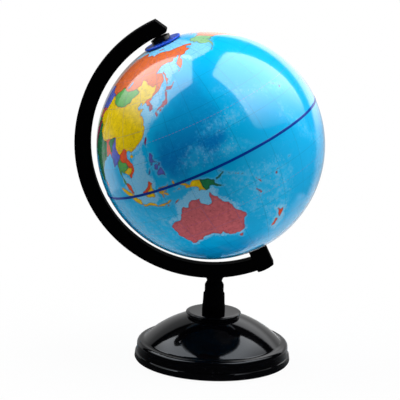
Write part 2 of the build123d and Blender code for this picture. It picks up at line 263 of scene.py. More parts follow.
def plasticMaterial(name, mark=None):
    s = {**plainFinish, **finishSet[name]}
    mirror = {"Specular IOR Level": s["level"], "Specular Tint": s["gloss"]}
    material, t, shader, spot = newMaterial(name, mirror)
    height, rough, dust = t.group(skinGroup, spot, s["peel"], *s["rough"], s["dust"])
    pale = rgb(*(s["paler"] * c for c in s["tone"][:3]))
    colour = t.blend(t.noise(spot, *s["cloud"]), s["tone"], pale)
    if mark:
        colour = mark(t, spot, colour)
    t.dress(shader, t.blend(dust, colour, s["dustTone"]), rough, height, (s["bump"], s["relief"]))
    return material


# Hour figures of the dial: dark dashes, 24 to the turn about the axle, in a ring near the rim
dialSet = {"hours": 24, "inner": 0.0070, "outer": 0.0108, "share": 0.34, "tone": rgb(0.0, 0.004, 0.03),
           "wear": (900.0, 2.0), "wearEdge": (0.35, 0.5)}


def dialFigures(t, spot, colour):
    s = dialSet
    turned = onAxle(t, spot)
    x, y = t.axes(turned)[:2]
    away = t.hypot(x, y)
    hour = t.times(t.math("ARCTAN2", y, x), s["hours"] / (2 * pi))
    dash = t.math("LESS_THAN", t.math("PINGPONG", t.plus(hour, s["hours"]), 0.5), s["share"] / 2)
    ring = t.times(t.math("GREATER_THAN", away, s["inner"]), t.math("LESS_THAN", away, s["outer"]))
    ragged = t.step(t.noise(turned, *s["wear"]), *s["wearEdge"])
    return t.blend(t.times(dash, ring, ragged), colour, s["tone"])


finish = {name: plasticMaterial(name, dialFigures if name == "dialBlue" else None) for name in finishSet}

# Foam: closed cells under a thin pressed skin
foamSet = {"cells": 1400.0, "pore": (0.5, 0.15), "cloud": (60.0, 4.0), "dark": rgb(0.012, 0.012, 0.013),
           "pale": rgb(0.035, 0.035, 0.037), "poreTone": grey(0.004), "rough": (0.75, 0.95),
           "bump": (0.5, 0.0004)}


def makeFoam():
    s = foamSet
    material, t, shader, spot = newMaterial("padFoam")
    cell = t.cells(spot, s["cells"])["Distance"]
    cloud = t.noise(spot, *s["cloud"])
    colour = t.blend(t.step(cell, *s["pore"]), t.blend(cloud, s["dark"], s["pale"]), s["poreTone"])
    t.dress(shader, colour, t.scaled(cloud, 0.0, 1.0, *s["rough"]), cell, s["bump"])
    return material


# Drawn steel: fine lines round the turned parts, a little dulling in patches
steelSet = {"stretch": (1.0, 1.0, 30.0), "line": (300.0, 3.0), "dull": (90.0, 3.0), "dark": grey(0.42),
            "pale": rgb(0.6, 0.6, 0.59), "rough": (0.18, 0.42), "bump": (0.15, 0.0002)}


def makeSteel():
    s = steelSet
    material, t, shader, spot = newMaterial("drawnSteel", {"Metallic": 1.0})
    line = t.noise(t.add("Mapping", {"Vector": spot, "Scale": s["stretch"]}).outputs[0], *s["line"])
    colour = t.blend(t.noise(spot, *s["dull"]), s["dark"], s["pale"])
    t.dress(shader, colour, t.scaled(line, 0.0, 1.0, *s["rough"]), line, s["bump"])
    return material


slotMaterials = {
    "base_black": finish["baseBlack"], "arm_black": finish["armBlack"], "cover_black": finish["coverBlack"],
    "nylon": finish["nylonWhite"], "band_blue": finish["bandBlue"], "dial_blue": finish["dialBlue"],
    "pad_foam": makeFoam(), "steel": makeSteel(),
}
nodeMaterials = {"dial_hub": finish["hubBlack"], "column": finish["armBlack"]}
print("finishes made:", len(slotMaterials))


# the printed map: outlines drawn as longitude and latitude, each begun by a name or a stroke

landOutlines = """
    oldWorld 190.3 66.1 186.5 64.4 181 66.2 177.5 64.8 179.2 62.4 175 61.8 170.4 60 166 60.2 163.4 58.6
    163.2 57.7 163.3 56.1 161.8 54.8 160 53.2 158.6 52.9 156.7 51 155.6 54.5 155.7 57 158 58.2 161.9 60.4
    164.5 62.5 160.4 61.8 160 60.7 156.7 61.5 154.5 59.6 151 59.1 148 59.4 143.2 59.3 140 57.7 137.6 56
    135.2 54.6 138 53.8 141.3 53.2 141.2 52.2 140.5 50 140.3 48.5 138.2 46.3 135.5 44.3 132.3 43.2 130.7
    42.3 129.7 41 127.6 39.8 128.4 38.5 129.4 37 129.2 35.3 127.5 34.7 126.4 34.4 126.5 36 126.7 37.2 125
    37.9 125.2 39.4 124.3 40 121.3 38.9 122 40.5 121 40.9 119.5 39.8 117.8 39 118.9 37.6 120.7 37.8 122.5
    37.3 120.3 36 119.3 35 120.3 34.2 121.9 31.8 121 30.5 121.9 29.5 121.6 28.3 120.6 27.3 119.8 26.2 118.7
    24.8 117 23.5 114.3 22.5 111.8 21.7 110.4 21.2 110.3 20.3 109.7 21.4 108 21.6 106.7 20.6 105.7 18.9 107
    17 108.9 15.3 109.3 13 109 11.5 107.1 10.4 104.8 8.6 104.9 10.2 103.5 10.6 102.4 12.1 100.9 12.7 100.5
    13.5 99.9 12 99.2 10.3 99.9 9.2 100.6 7.2 102.2 6.2 103.4 4.5 103.5 2.6 104.2 1.4 103.4 1.4 101.3 2.9
    100.4 5 100.1 6.5 98.6 8.2 98.6 10 98.6 12.5 97.6 16.3 95.3 15.8 94.3 16 94.5 18 93.5 19.8 92.2 21 91.8
    22.4 90.5 22.2 89 21.8 87 21.4 86.8 20.4 85.2 19.4 82.3 16.7 80.3 15.7 80.2 13.3 79.9 10.4 78.2 8.9 77.5
    8.1 76.3 10 74.8 13 73.4 16.5 72.8 19 72.7 21.2 70.3 20.9 69 22.3 70.2 22.9 67.5 23.9 66.6 25.2 62 25.2
    57.5 25.6 56.5 27 54.5 26.6 51.5 28 50 30.1 48 30 48.3 28.5 50 26.6 50.8 24.9 51.2 25.9 51.5 24.5 54.2
    24.2 56.3 26.2 56.5 24.4 58.7 23.5 59.8 22.4 57.8 19 55 17 52.2 15.6 48.5 14 45 12.8 43.4 12.7 42.8 15
    41.2 18.8 39.1 21.3 37.2 24.6 35.2 28 34.9 29.5 34.3 27.9 32.6 29.9 33.8 27.2 35.5 24 37.2 21 37.4 18.8
    39.5 15.5 43.3 11.6 44.5 10.4 51.2 11.8 50.8 9.3 48 4.5 43.5 0.5 41.5 -1.8 39.2 -5 39.5 -7 40.5 -10.5
    40.7 -15 36.8 -18 34.8 -20 35.5 -23.8 32.8 -26 32.5 -28.5 30 -31.2 27 -33.6 22.5 -34.1 18.4 -34.2 18.2
    -31.8 16.5 -28.6 14.5 -22.8 11.8 -18 13.5 -12.5 13.2 -8.8 12.2 -6 9.5 -2.5 8.8 -0.7 9.6 2.5 9.5 3.9 8.5
    4.6 6 4.3 4.5 6.3 1.5 6.2 -2 4.8 -7.5 4.4 -11.5 6.9 -13.3 9.3 -15 11 -16.8 12.5 -17.4 14.7 -16.3 18.5
    -17 21 -15 25 -12.9 27.8 -9.8 29.8 -9.5 32 -6.5 34.3 -5.5 35.9 -2 35.1 3 36.8 9.8 37.3 10.2 34.2 11.2
    33.2 15.3 32.3 19 30.3 20.2 32.5 23 32.7 25 31.6 29 30.9 32 31.3 34.2 31.3 35 32.8 35.9 35 36.2 36.7 34
    36.2 30.6 36.8 27.4 36.8 26.3 39.3 29 41 31.5 41.2 35 42 38.3 41 41.5 41.5 39.8 43.4 37.5 44.8 39.2 47.2
    35.2 46.3 36.5 45.3 33.8 44.4 32.6 45.5 33 46.2 30.7 46.4 28.7 44.5 27.6 42.5 29 41.3 26 40.7 23.8 40.3
    22.8 39.5 24 38 22.8 36.5 21.2 37.8 19.4 41 16.5 43.3 13.6 45.5 12.3 45.2 12.6 44 14.2 42.4 16.1 41.8
    18.4 40 17 40.5 16.5 39 15.8 38 16 40 14 40.9 12 42 10.3 43.6 8.8 44.4 6.5 43.1 3.2 43.2 3.2 41.9 0.5
    40.6 -0.2 38.8 -2 36.8 -5.5 36.1 -6.4 36.8 -8.8 37.1 -9.4 38.8 -8.8 43.2 -2 43.4 -1.3 46 -4.6 48.2 -1.6
    48.7 -1.5 49.6 1.5 50.3 4.5 52.2 6.8 53.5 8.6 54 8.2 56.8 10.6 57.6 10.3 55.8 11 54 14.2 54 18.5 54.8 21
    55.5 21.4 57.2 24 57.2 23.6 59.2 28.5 59.7 26 60.3 22.5 60.2 21.4 62 25.2 65 22.2 65.8 17.5 62 18.5 60
    16.5 57 14.3 55.6 12.6 56.5 10.9 59.2 7.5 58.1 5.3 60 5.3 62.2 10 64 14 67.3 19 69.8 25.5 71 31 70.2 41
    67 40 66.2 33 66.7 37 64 40 64.6 44 66 43.5 68.3 46 68.2 54 68.6 60.5 69.7 67 69 66.8 70.5 69.5 73 72.8
    72.8 71.8 68.5 73.6 68 74.5 72.5 80.5 73.5 87 75 98 76.2 104.3 77.7 113 75.8 110 74 113.5 73.5 120 73
    127 72.5 129.5 71 133 71.6 140 72.4 150 71.6 160 69.7 170 69.8 180 69 185 67.3 newWorld -168.1 65.6
    -163.8 66.5 -162 66.4 -166.5 68.3 -163 69.6 -156.6 71.3 -150 70.5 -141 69.7 -135 69.3 -128 70.4 -124
    69.8 -115 68.5 -108 68 -98 68 -95 69.5 -94 71.9 -90 69 -85.5 69.8 -81.5 69 -81.5 67.2 -86 66.2 -87 64.5
    -93 61.8 -94.7 58.8 -92.5 57 -88 56.4 -82.3 55.2 -82.2 52.9 -80 51.3 -79 53.5 -79.5 55 -76.6 57 -78.5
    58.8 -77.8 62.4 -73.5 62.4 -70 61 -69.5 59 -66 58.7 -64.5 60.3 -61.5 56.5 -57.5 54.5 -55.7 52.5 -60 50.2
    -66.5 50.2 -65 49.2 -64.5 47 -61.5 45.8 -61 45.3 -66 43.5 -65.5 45 -70 43.7 -70.8 42 -70 41.7 -74 40.6
    -75.5 38 -76 36.9 -75.5 35.3 -78 33.9 -81.2 31.5 -80.1 26.8 -80.5 25.2 -81.8 26.1 -82.8 28.5 -84.2 30
    -88 30.3 -89.4 29.1 -93.8 29.7 -97.2 27.8 -97.8 22.4 -96.2 19.2 -94.3 18.2 -91.5 18.6 -90.4 21 -87 21.5
    -87.6 19 -88.5 16 -86 15.8 -83.2 15 -83.6 11 -81.5 8.9 -79.5 9.5 -77.3 8.6 -75.3 10.8 -72 12.2 -71.5 11
    -70 12 -68 10.6 -62 10.7 -60 8.5 -57 6 -51.5 4.5 -50 1.5 -48.5 -0.8 -44.5 -2.7 -40 -2.9 -37 -4.8 -35 -7
    -35.2 -9.5 -38.8 -13 -39 -17.5 -40.8 -21 -42 -23 -46.5 -24.1 -48.6 -26.5 -50 -29.5 -53.5 -34 -57.5 -34.5
    -57 -36.5 -57.8 -38.2 -62.2 -38.9 -62.4 -41 -65 -41 -63.8 -42.8 -67.5 -46 -65.8 -47.5 -69 -51 -68.4
    -52.4 -65.3 -54.7 -68.5 -55.5 -72.5 -53.5 -75.5 -49 -74 -44 -73.8 -40.5 -73.5 -37 -71.6 -32 -70.4 -25
    -70.3 -18.4 -76.2 -13.8 -78 -10 -81.2 -5.8 -80 -3 -80.9 -1 -79 1.5 -77.3 4 -77.9 7.2 -79.8 7.4 -83 8.3
    -85.8 10 -87.6 13 -92 14.3 -95 16 -101 17.4 -105.5 20.2 -105.3 21.5 -109.4 25.7 -112.8 30 -114.7 31.7
    -112.5 28.3 -109.5 23.1 -112.2 25 -115 28 -117.1 32.5 -120.6 34.5 -122.4 37.2 -124.3 40.4 -124 46 -124.7
    48.4 -122.5 48.5 -127.5 51 -130.3 54.5 -134 58 -139.5 59.7 -146 60.8 -151.5 59.3 -151.8 61 -154 58.8
    -158.5 56.2 -163.5 54.7 -158 58.5 -162 58.7 -165.5 61.2 -164.5 63.2 -161 64.3 -166 64.6 australia 142.5
    -10.7 143.6 -14 145.3 -15 146.2 -18.8 148.5 -20.2 149.7 -22.3 150.9 -23.5 153.1 -25.3 153.6 -28.5 152.8
    -31.5 151.4 -33.5 150 -36.5 149.9 -37.5 147.5 -38 146.3 -39 144.6 -38.2 143.5 -38.8 140.6 -38 139.6
    -36.3 138.1 -35.6 138.3 -34.6 137.7 -35.2 137.9 -33 136 -34.8 135.2 -34.6 134.2 -32.8 131.2 -31.5 128.9
    -31.7 126 -32.3 124 -33.1 123.5 -33.9 120 -33.9 118 -35 115.1 -34.3 115.7 -31.8 114.2 -27.8 113.5 -26.2
    114 -25.4 113.7 -24 114.1 -21.9 116.7 -20.6 119 -20 121.2 -19.4 122.2 -18 122.9 -16.5 124 -16.3 125.2
    -14.6 127 -13.9 128.3 -14.9 129.6 -14.9 130.1 -13.3 130.9 -12.3 132.6 -12.1 132.6 -11.4 135.2 -12.2
    136.9 -12.2 135.9 -13.5 135.5 -15 137.5 -16.2 139.2 -17.4 140.8 -17.6 141.6 -15.5 141.6 -13 142 -11.5
    antarctica -200 -92 -200 -78 -180 -78 -160 -77 -150 -77 -135 -74.5 -120 -74 -105 -74.5 -100 -72.5 -85
    -73 -75 -72 -68 -68 -62 -64.5 -57 -63.3 -61 -67 -62 -73 -72 -77 -60 -78 -40 -78 -28 -76 -18 -72.5 -10
    -71 5 -70 20 -70 35 -69.5 50 -67 60 -67.5 70 -69 75 -69.5 85 -67 100 -66 115 -66.5 130 -66 145 -67 160
    -69.5 170 -71.5 164 -75 165 -78 180 -78 200 -78 200 -92 greenland -73 78.3 -60 82 -33 83.5 -20 81.5 -18
    77 -22 72 -25 69 -38 65.5 -43.5 60 -48.5 61.5 -53.5 66 -51 69.5 -55.5 72.5 -60 76 -68 76 baffin -62 66
    -65 62.5 -72 64 -78 64.5 -73 67 -79 70 -90 71.5 -89 73.7 -81 73.7 -72 71.3 victoria -117 70 -105 68.7
    -101.5 69.5 -105 72.8 -117 73.2 ellesmere -62 82.4 -72 83.1 -90 82 -86 78 -78 76.5 -90 76.3 -80 74.7 -95
    75 -96 77 -92 81 banks -125.5 72 -117.5 73.8 -121 74.3 -124 73.7 newfoundland -59.3 47.6 -55.9 46.9 -53
    46.8 -54 49.3 -55.6 51.5 -57.3 50.5 britain -5.5 50.1 1 51 1.6 52.7 -0.2 54.2 -2 56 -2 57.6 -4 57.6 -3.2
    58.6 -5.1 58.4 -5.7 56.5 -4.8 54.8 -3 54 -4.5 53.2 -5 51.8 -3 51.4 ireland -6 52.2 -9.8 51.6 -9.8 54.2
    -7.3 55.3 -5.6 54.5 iceland -22 64 -18.7 63.4 -14 64.8 -15 66.3 -20 66 -22.5 66.4 -24 65.2 madagascar
    49.3 -12 50.3 -15.5 47.2 -24.8 45 -25.5 43.4 -22 44.3 -17 46.3 -15.7 48 -13.5 ceylon 80 9.6 81.8 7.2
    81.2 6.1 80.1 6 79.8 8 cuba -84.8 22 -81 23.1 -77 21.6 -74.3 20.2 -77.6 19.9 -78.5 21 -82.5 22.5
    hispaniola -74.3 18.5 -73 19.9 -69.9 19.7 -68.4 18.5 -71.4 17.8 borneo 109.3 1.2 110 1.6 111.5 2 113 2.6
    114.6 3.8 115.7 5 116.4 4.5 117.4 3.6 116.6 2.8 116.5 1.9 117.3 0.8 116.4 0.1 116.3 -1 115.6 -2 115.3
    -2.9 114.3 -3.2 113.1 -2.5 112 -2.7 110.8 -2.2 110.4 -1 109.5 0.2 sumatra 95.2 5.6 97.5 5.2 100.3 2.8
    103 0.7 103.8 -1 105.9 -3 105.8 -5.8 104.5 -5.8 102.3 -4 100.8 -1.5 98.8 1.6 96.5 3.5 java 105.2 -6.8
    106.1 -5.9 108.5 -6.6 110.8 -6.3 112.7 -6.9 114.5 -7.7 114.5 -8.7 111.5 -8.3 108.5 -7.8 106.4 -7.4
    sundas 114.5 -8.1 116.5 -8.2 119 -8.2 122.9 -8.1 122.8 -8.9 119.8 -9 117 -9.1 115.2 -8.8 timor 123.5
    -10.4 125 -8.9 127.3 -8.3 126.5 -9.2 124.5 -10.3 sumba 119 -9.4 120.8 -10 120 -10.4 celebes 119.8 0.5
    120.9 1.4 123.5 1 125.2 1.8 124.4 0.3 120.3 0.3 120.2 -0.9 121.5 -0.8 123.4 -0.8 121.5 -2 122.4 -3.3
    122.7 -4.6 121.6 -4.9 120.9 -3 120.4 -3.2 120.5 -5.6 119.4 -5.6 119.5 -3.4 118.8 -2.6 119.5 -0.9
    halmahera 127.3 1 128 2.2 128.8 1.3 128.4 -0.9 127.6 0 seram 127.8 -3.2 131 -3.5 129.5 -2.7 buru 126
    -3.3 127.3 -3.3 126.6 -3.9 newGuinea 130.9 -0.8 132.5 -0.3 134 -0.8 134.3 -2.4 135.2 -3.3 136.6 -2.1
    137.8 -1.5 141 -2.6 144.5 -3.9 145.8 -5.4 147.7 -6 147 -6.8 148.4 -8.8 150.8 -10.3 149.8 -10.6 147.2
    -9.6 146 -8.3 144.3 -7.6 143.2 -9.1 141 -9.2 139 -8.2 137.8 -8.4 138.9 -6.8 138 -5.5 135.2 -4.4 133 -4
    132.7 -2.9 133.8 -2.4 132.1 -2.2 newBritain 148.3 -5.6 150.2 -5.4 152.2 -4.2 152.1 -5.2 150.5 -6.3 148.9
    -6.2 newIreland 150.8 -2.5 153.2 -4.4 152.8 -4.7 151 -3 bougainville 154.5 -5.4 156 -6.7 155.2 -6.6
    choiseul 156.5 -6.6 159.8 -8.4 159.5 -8.7 157.2 -7.6 guadalcanal 159.5 -9.3 161 -9.9 160 -10 malaita
    160.6 -8.4 161.5 -9.7 161 -9.4 vanuatu 166.5 -14.7 167.3 -15.5 168.6 -17.8 168 -17.8 166.7 -15.7
    caledonia 164 -20 167.1 -22.2 166.3 -22.4 164.1 -20.8 fiji 177.2 -17.6 178.7 -17.6 178.4 -18.3 177.4
    -18.2 vanuaLevu 178.6 -16.8 180 -16.3 179.5 -16.9 samoa 187.3 -13.4 188.6 -13.9 187.6 -13.9 luzon 120.6
    18.6 122.3 18.5 122.3 16.5 121.7 15.8 121.7 14.3 124 13.1 124 12.5 122.4 13.4 120.6 13.8 120 14.9 119.8
    16.3 120.4 17 mindanao 123.3 8.6 125.5 9.8 126.5 7.5 125.6 5.6 124 6.5 122 6.9 122.4 8.2 samar 124.3
    12.6 125.6 12.3 125.2 10.2 124.4 10.8 visayas 122 11.9 123.2 11.4 124.1 10.9 123.2 9.1 122.4 9.7 122
    10.6 palawan 117.1 8.3 119.6 11.4 119.4 10.3 117.8 8.5 mindoro 120.3 13.5 121.5 13.2 121.1 12.2 formosa
    121.5 25.4 122 24.8 120.9 21.9 120 23.1 121 25.1 hainan 108.6 19.3 109.6 18.2 111.1 19.7 110.3 20.1
    109.3 20 hokkaido 141.9 45.6 143.5 44.4 145.4 44.3 145.6 43.3 143.3 41.9 141 42.4 140.1 41.4 139.8 42.6
    141.2 43.3 141.6 44.5 honshu 140.9 41.5 141.3 41.2 141.5 39.6 140.6 38.2 140.4 36.9 140.2 36 139.3 35.4
    138.4 35.1 137 35.1 136.4 34.7 135.6 34.1 135 34.6 133.5 34.6 132.2 34.1 130.9 34.1 131 34.6 133 35.5
    135.3 35.7 136 36 136.8 37.3 137.3 36.8 138.6 37.4 139.6 38.8 139.9 40 139.9 40.7 140.3 41.2 shikoku
    132.4 33.5 133 33.1 134.1 33.4 134.4 34.1 133.3 34.1 132.8 33.8 kyushu 130.8 33.7 131.5 33 131.2 31.7
    130.7 31.2 130.3 31.8 129.9 33 130.4 33.6 sakhalin 142.5 54.5 143.4 52.5 143.3 50 144.7 49 142.9 47
    143.4 46.2 142 45.8 141.9 48 142 51 141.6 53.2 novaya 51.5 71.5 53 73.5 57 75.5 66 76.9 68.8 76.7 60 75
    57.3 72.5 57.3 70.7 53.5 70.8 svalbard 11 79.6 15 76.8 20 78.5 27 80 17 80.2 severnaya 94 80 99 78.3 105
    78.7 97 81.2 siberian 137.5 75.5 146 74.9 150.5 75.2 142 76.2 wrangel 178.8 71.2 182.5 71.4 181 70.8
    northZealand 173 -34.8 174.3 -35.6 175.1 -36.9 175.7 -37.6 177.7 -37.8 177.3 -39.1 176.4 -40 175.2 -41.3
    174.8 -41 175.1 -39.9 174.1 -39.3 174.7 -38 174.3 -36.6 southZealand 172.5 -41 173.6 -41.7 172.5 -43.5
    171.1 -44.4 170.4 -45.5 169 -46.2 167.4 -45.7 168.7 -44.2 171.2 -42.5 171.9 -41.2 tasmania 145 -40.9
    147.8 -41 147.7 -42.2 146.7 -43 145.6 -42.4 hawaii 203.9 20.3 205.3 19.5 204.4 18.9 oahu 200 22.3 203.6
    21 202 21.4 aleutians 190 53.2 195.5 54.9 196 54.4 191 52.8 kodiak 205.2 57.5 207.6 58.2 207.2 57.3
    vancouver -128.2 50.8 -125 50.1 -123.5 48.5 -125.4 48.8 sicily 12.4 38.1 15.6 38.3 15.1 36.7 sardinia
    8.2 41 9.6 41 9.5 39.1 8.4 39 corsica 8.6 42.4 9.5 43 9.4 41.5 crete 23.5 35.5 26.3 35.2 24 35 cyprus
    32.3 35 34.5 35.6 33 34.6 falklands -61 -51.3 -57.8 -51.5 -59.5 -52.3 kerguelen 68.7 -48.8 70.4 -49.2
    69.3 -49.7 kuriles 145.8 43.7 148.6 45.4 148.2 45.6 145.5 44.2 paramushir 154.8 49.6 156.5 50.8 156 50.9
    154.3 49.8 puertoRico -67.2 18.5 -65.6 18.3 -67 17.9 jamaica -78.3 18.4 -76.2 18 -77.5 17.7 trinidad
    -61.9 10.8 -60.9 10.7 -61.5 10"""
innerSeas = """
    caspian 47.5 45.5 51 47 53 46.5 53 45 51 44.5 50.3 44.3 52.5 42 53.8 40.5 53.8 37 50 37.4 49.2 40 47.5
    43 aral 58.5 44 58.5 46 61.5 46.5 60.5 44 baikal 103.8 51.4 106 52.9 109.4 55.7 110 54.8 108.2 53.1 106
    51.7 superior -92 46.7 -88 48.9 -84.7 46.7 -87 46.6 michigan -88 42 -87.8 45 -85.2 46 -84 46.2 -82.5
    45.2 -82.3 43.2 -84 44.5 -86.3 43.6 -86.6 41.8 erie -83.3 41.7 -79 43 -76.3 43.9 -79.5 42.5 victoriaLake
    31.8 -2.3 32 0.2 34.3 0 33.5 -2.4 tanganyika 29 -4 30 -3.8 31.2 -8.6 30.6 -8.4 balkhash 73.7 45.8 74.5
    46.8 79 46.8 75 46.2 bear -124 65.2 -121 66.8 -118 66 -121 65 slave -117 61 -112 62.3 -109.5 62.6 -114
    61"""

# Forms of the sea floor: pale shelves, rises with islands, deep basins
seaOutlines = {
    "shelf": """
    sunda 100 12 104 9.5 107 11 109 16 112 20.5 117 21 118 15 117.5 9 119 4 118 -4 115 -7.5 106 -6 103 -1 98
    5 98 9 yellowSea 117 42 126 40.5 126 36 128 34.5 129 33 126 30 122.5 26 120 23 117 21.5 112 20 108 18
    106 20 112 24 118 28 120 33 sahul 124 -9.5 129 -8.7 133 -6.5 137 -5 143 -8 146 -8.5 146 -14 149 -18 153
    -23 152 -26 146 -20 140 -19 132 -15 122 -20 114 -21 113 -19.5 120 -17 okhotsk 135 53 142 46 145 46 150
    50 156 52 156 58 163 62 158 63 143 61 bering 163 61 163.5 56 170 53.2 180 51.5 188 52.2 196 54.5 202 58
    201 66 191 69 180 69 181 64 siberia 60 68 60 89 205 89 200 72 198 68 190 66 130 70 barents 18 70 20 79
    55 80 60 70 40 66 northSea -11 50 -9 58 0 62 5 61 12 56 8 52 2 49 -4 46 patagonia -63 -37 -57 -36 -57
    -50 -62 -55 -70 -54 banks -50 43 -47 48 -55 53 -70 45 -68 40 bight 114 -35.3 118 -36.3 124 -34.8 131
    -33.5 138 -37.5 144 -40 149.5 -42 151.5 -36 148 -34 130 -30 118 -31 chatham 165 -47 172 -38 171 -33.5
    175 -33 180 -37 178 -45 171 -50 japanSea 128 35 132 36 138 41 141 47 137 46 131 42.5 127.5 40""",
    "rise": """
    coral 152 -8 166 -8 182 -12 187 -20 183 -33 181 -44 172 -52 163 -47 164 -36 158 -30 155 -24 153 -18
    hawaiian 168 32 176 29 188 25 198 22 207 19 204 17 194 20 182 23 170 28 indian 86 -34 88 -2 96 -3 104 -9
    114 -12 122 -16 113 -21 112 -36 98 -40 micronesia 134 6 142 14 147 14 152 8 164 8 172 2 166 3 150 4 138
    5 line 196 12 202 4 208 -8 220 -16 214 -20 202 -8 192 8 mapmaker 150 18 160 22 178 22 178 16 160 14
    atlantic -35 60 -26 45 -32 38 -42 30 -46 20 -42 10 -28 2 -14 -4 -12 -30 -16 -40 -8 -40 -6 -20 -10 2 -30
    8 -38 20 -34 32 -22 40 -18 55 eastPacific -112 20 -102 10 -104 -10 -112 -30 -112 -50 -120 -50 -118 -30
    -112 -8 -110 8""",
    "basin": """
    northWest 129 4 125 14 127 23 134 28 142 33 148 38 155 41 161 37 164 28 164 18 161 9 154 4 144 3
    southern 100 -40 116 -41 130 -42 142 -46 156 -52 150 -60 118 -60 98 -54 northEast -131 40 -122 36 -112
    22 -106 12 -118 6 -130 14 southEast -112 -12 -92 -14 -84 -34 -96 -46 -112 -36 indian 58 -14 76 -10 82
    -24 84 -40 66 -42 54 -30 northAtlantic -66 22 -52 38 -42 40 -50 14 southAtlantic -32 -12 -22 -20 -24 -38
    -44 -44 -40 -28""",
}

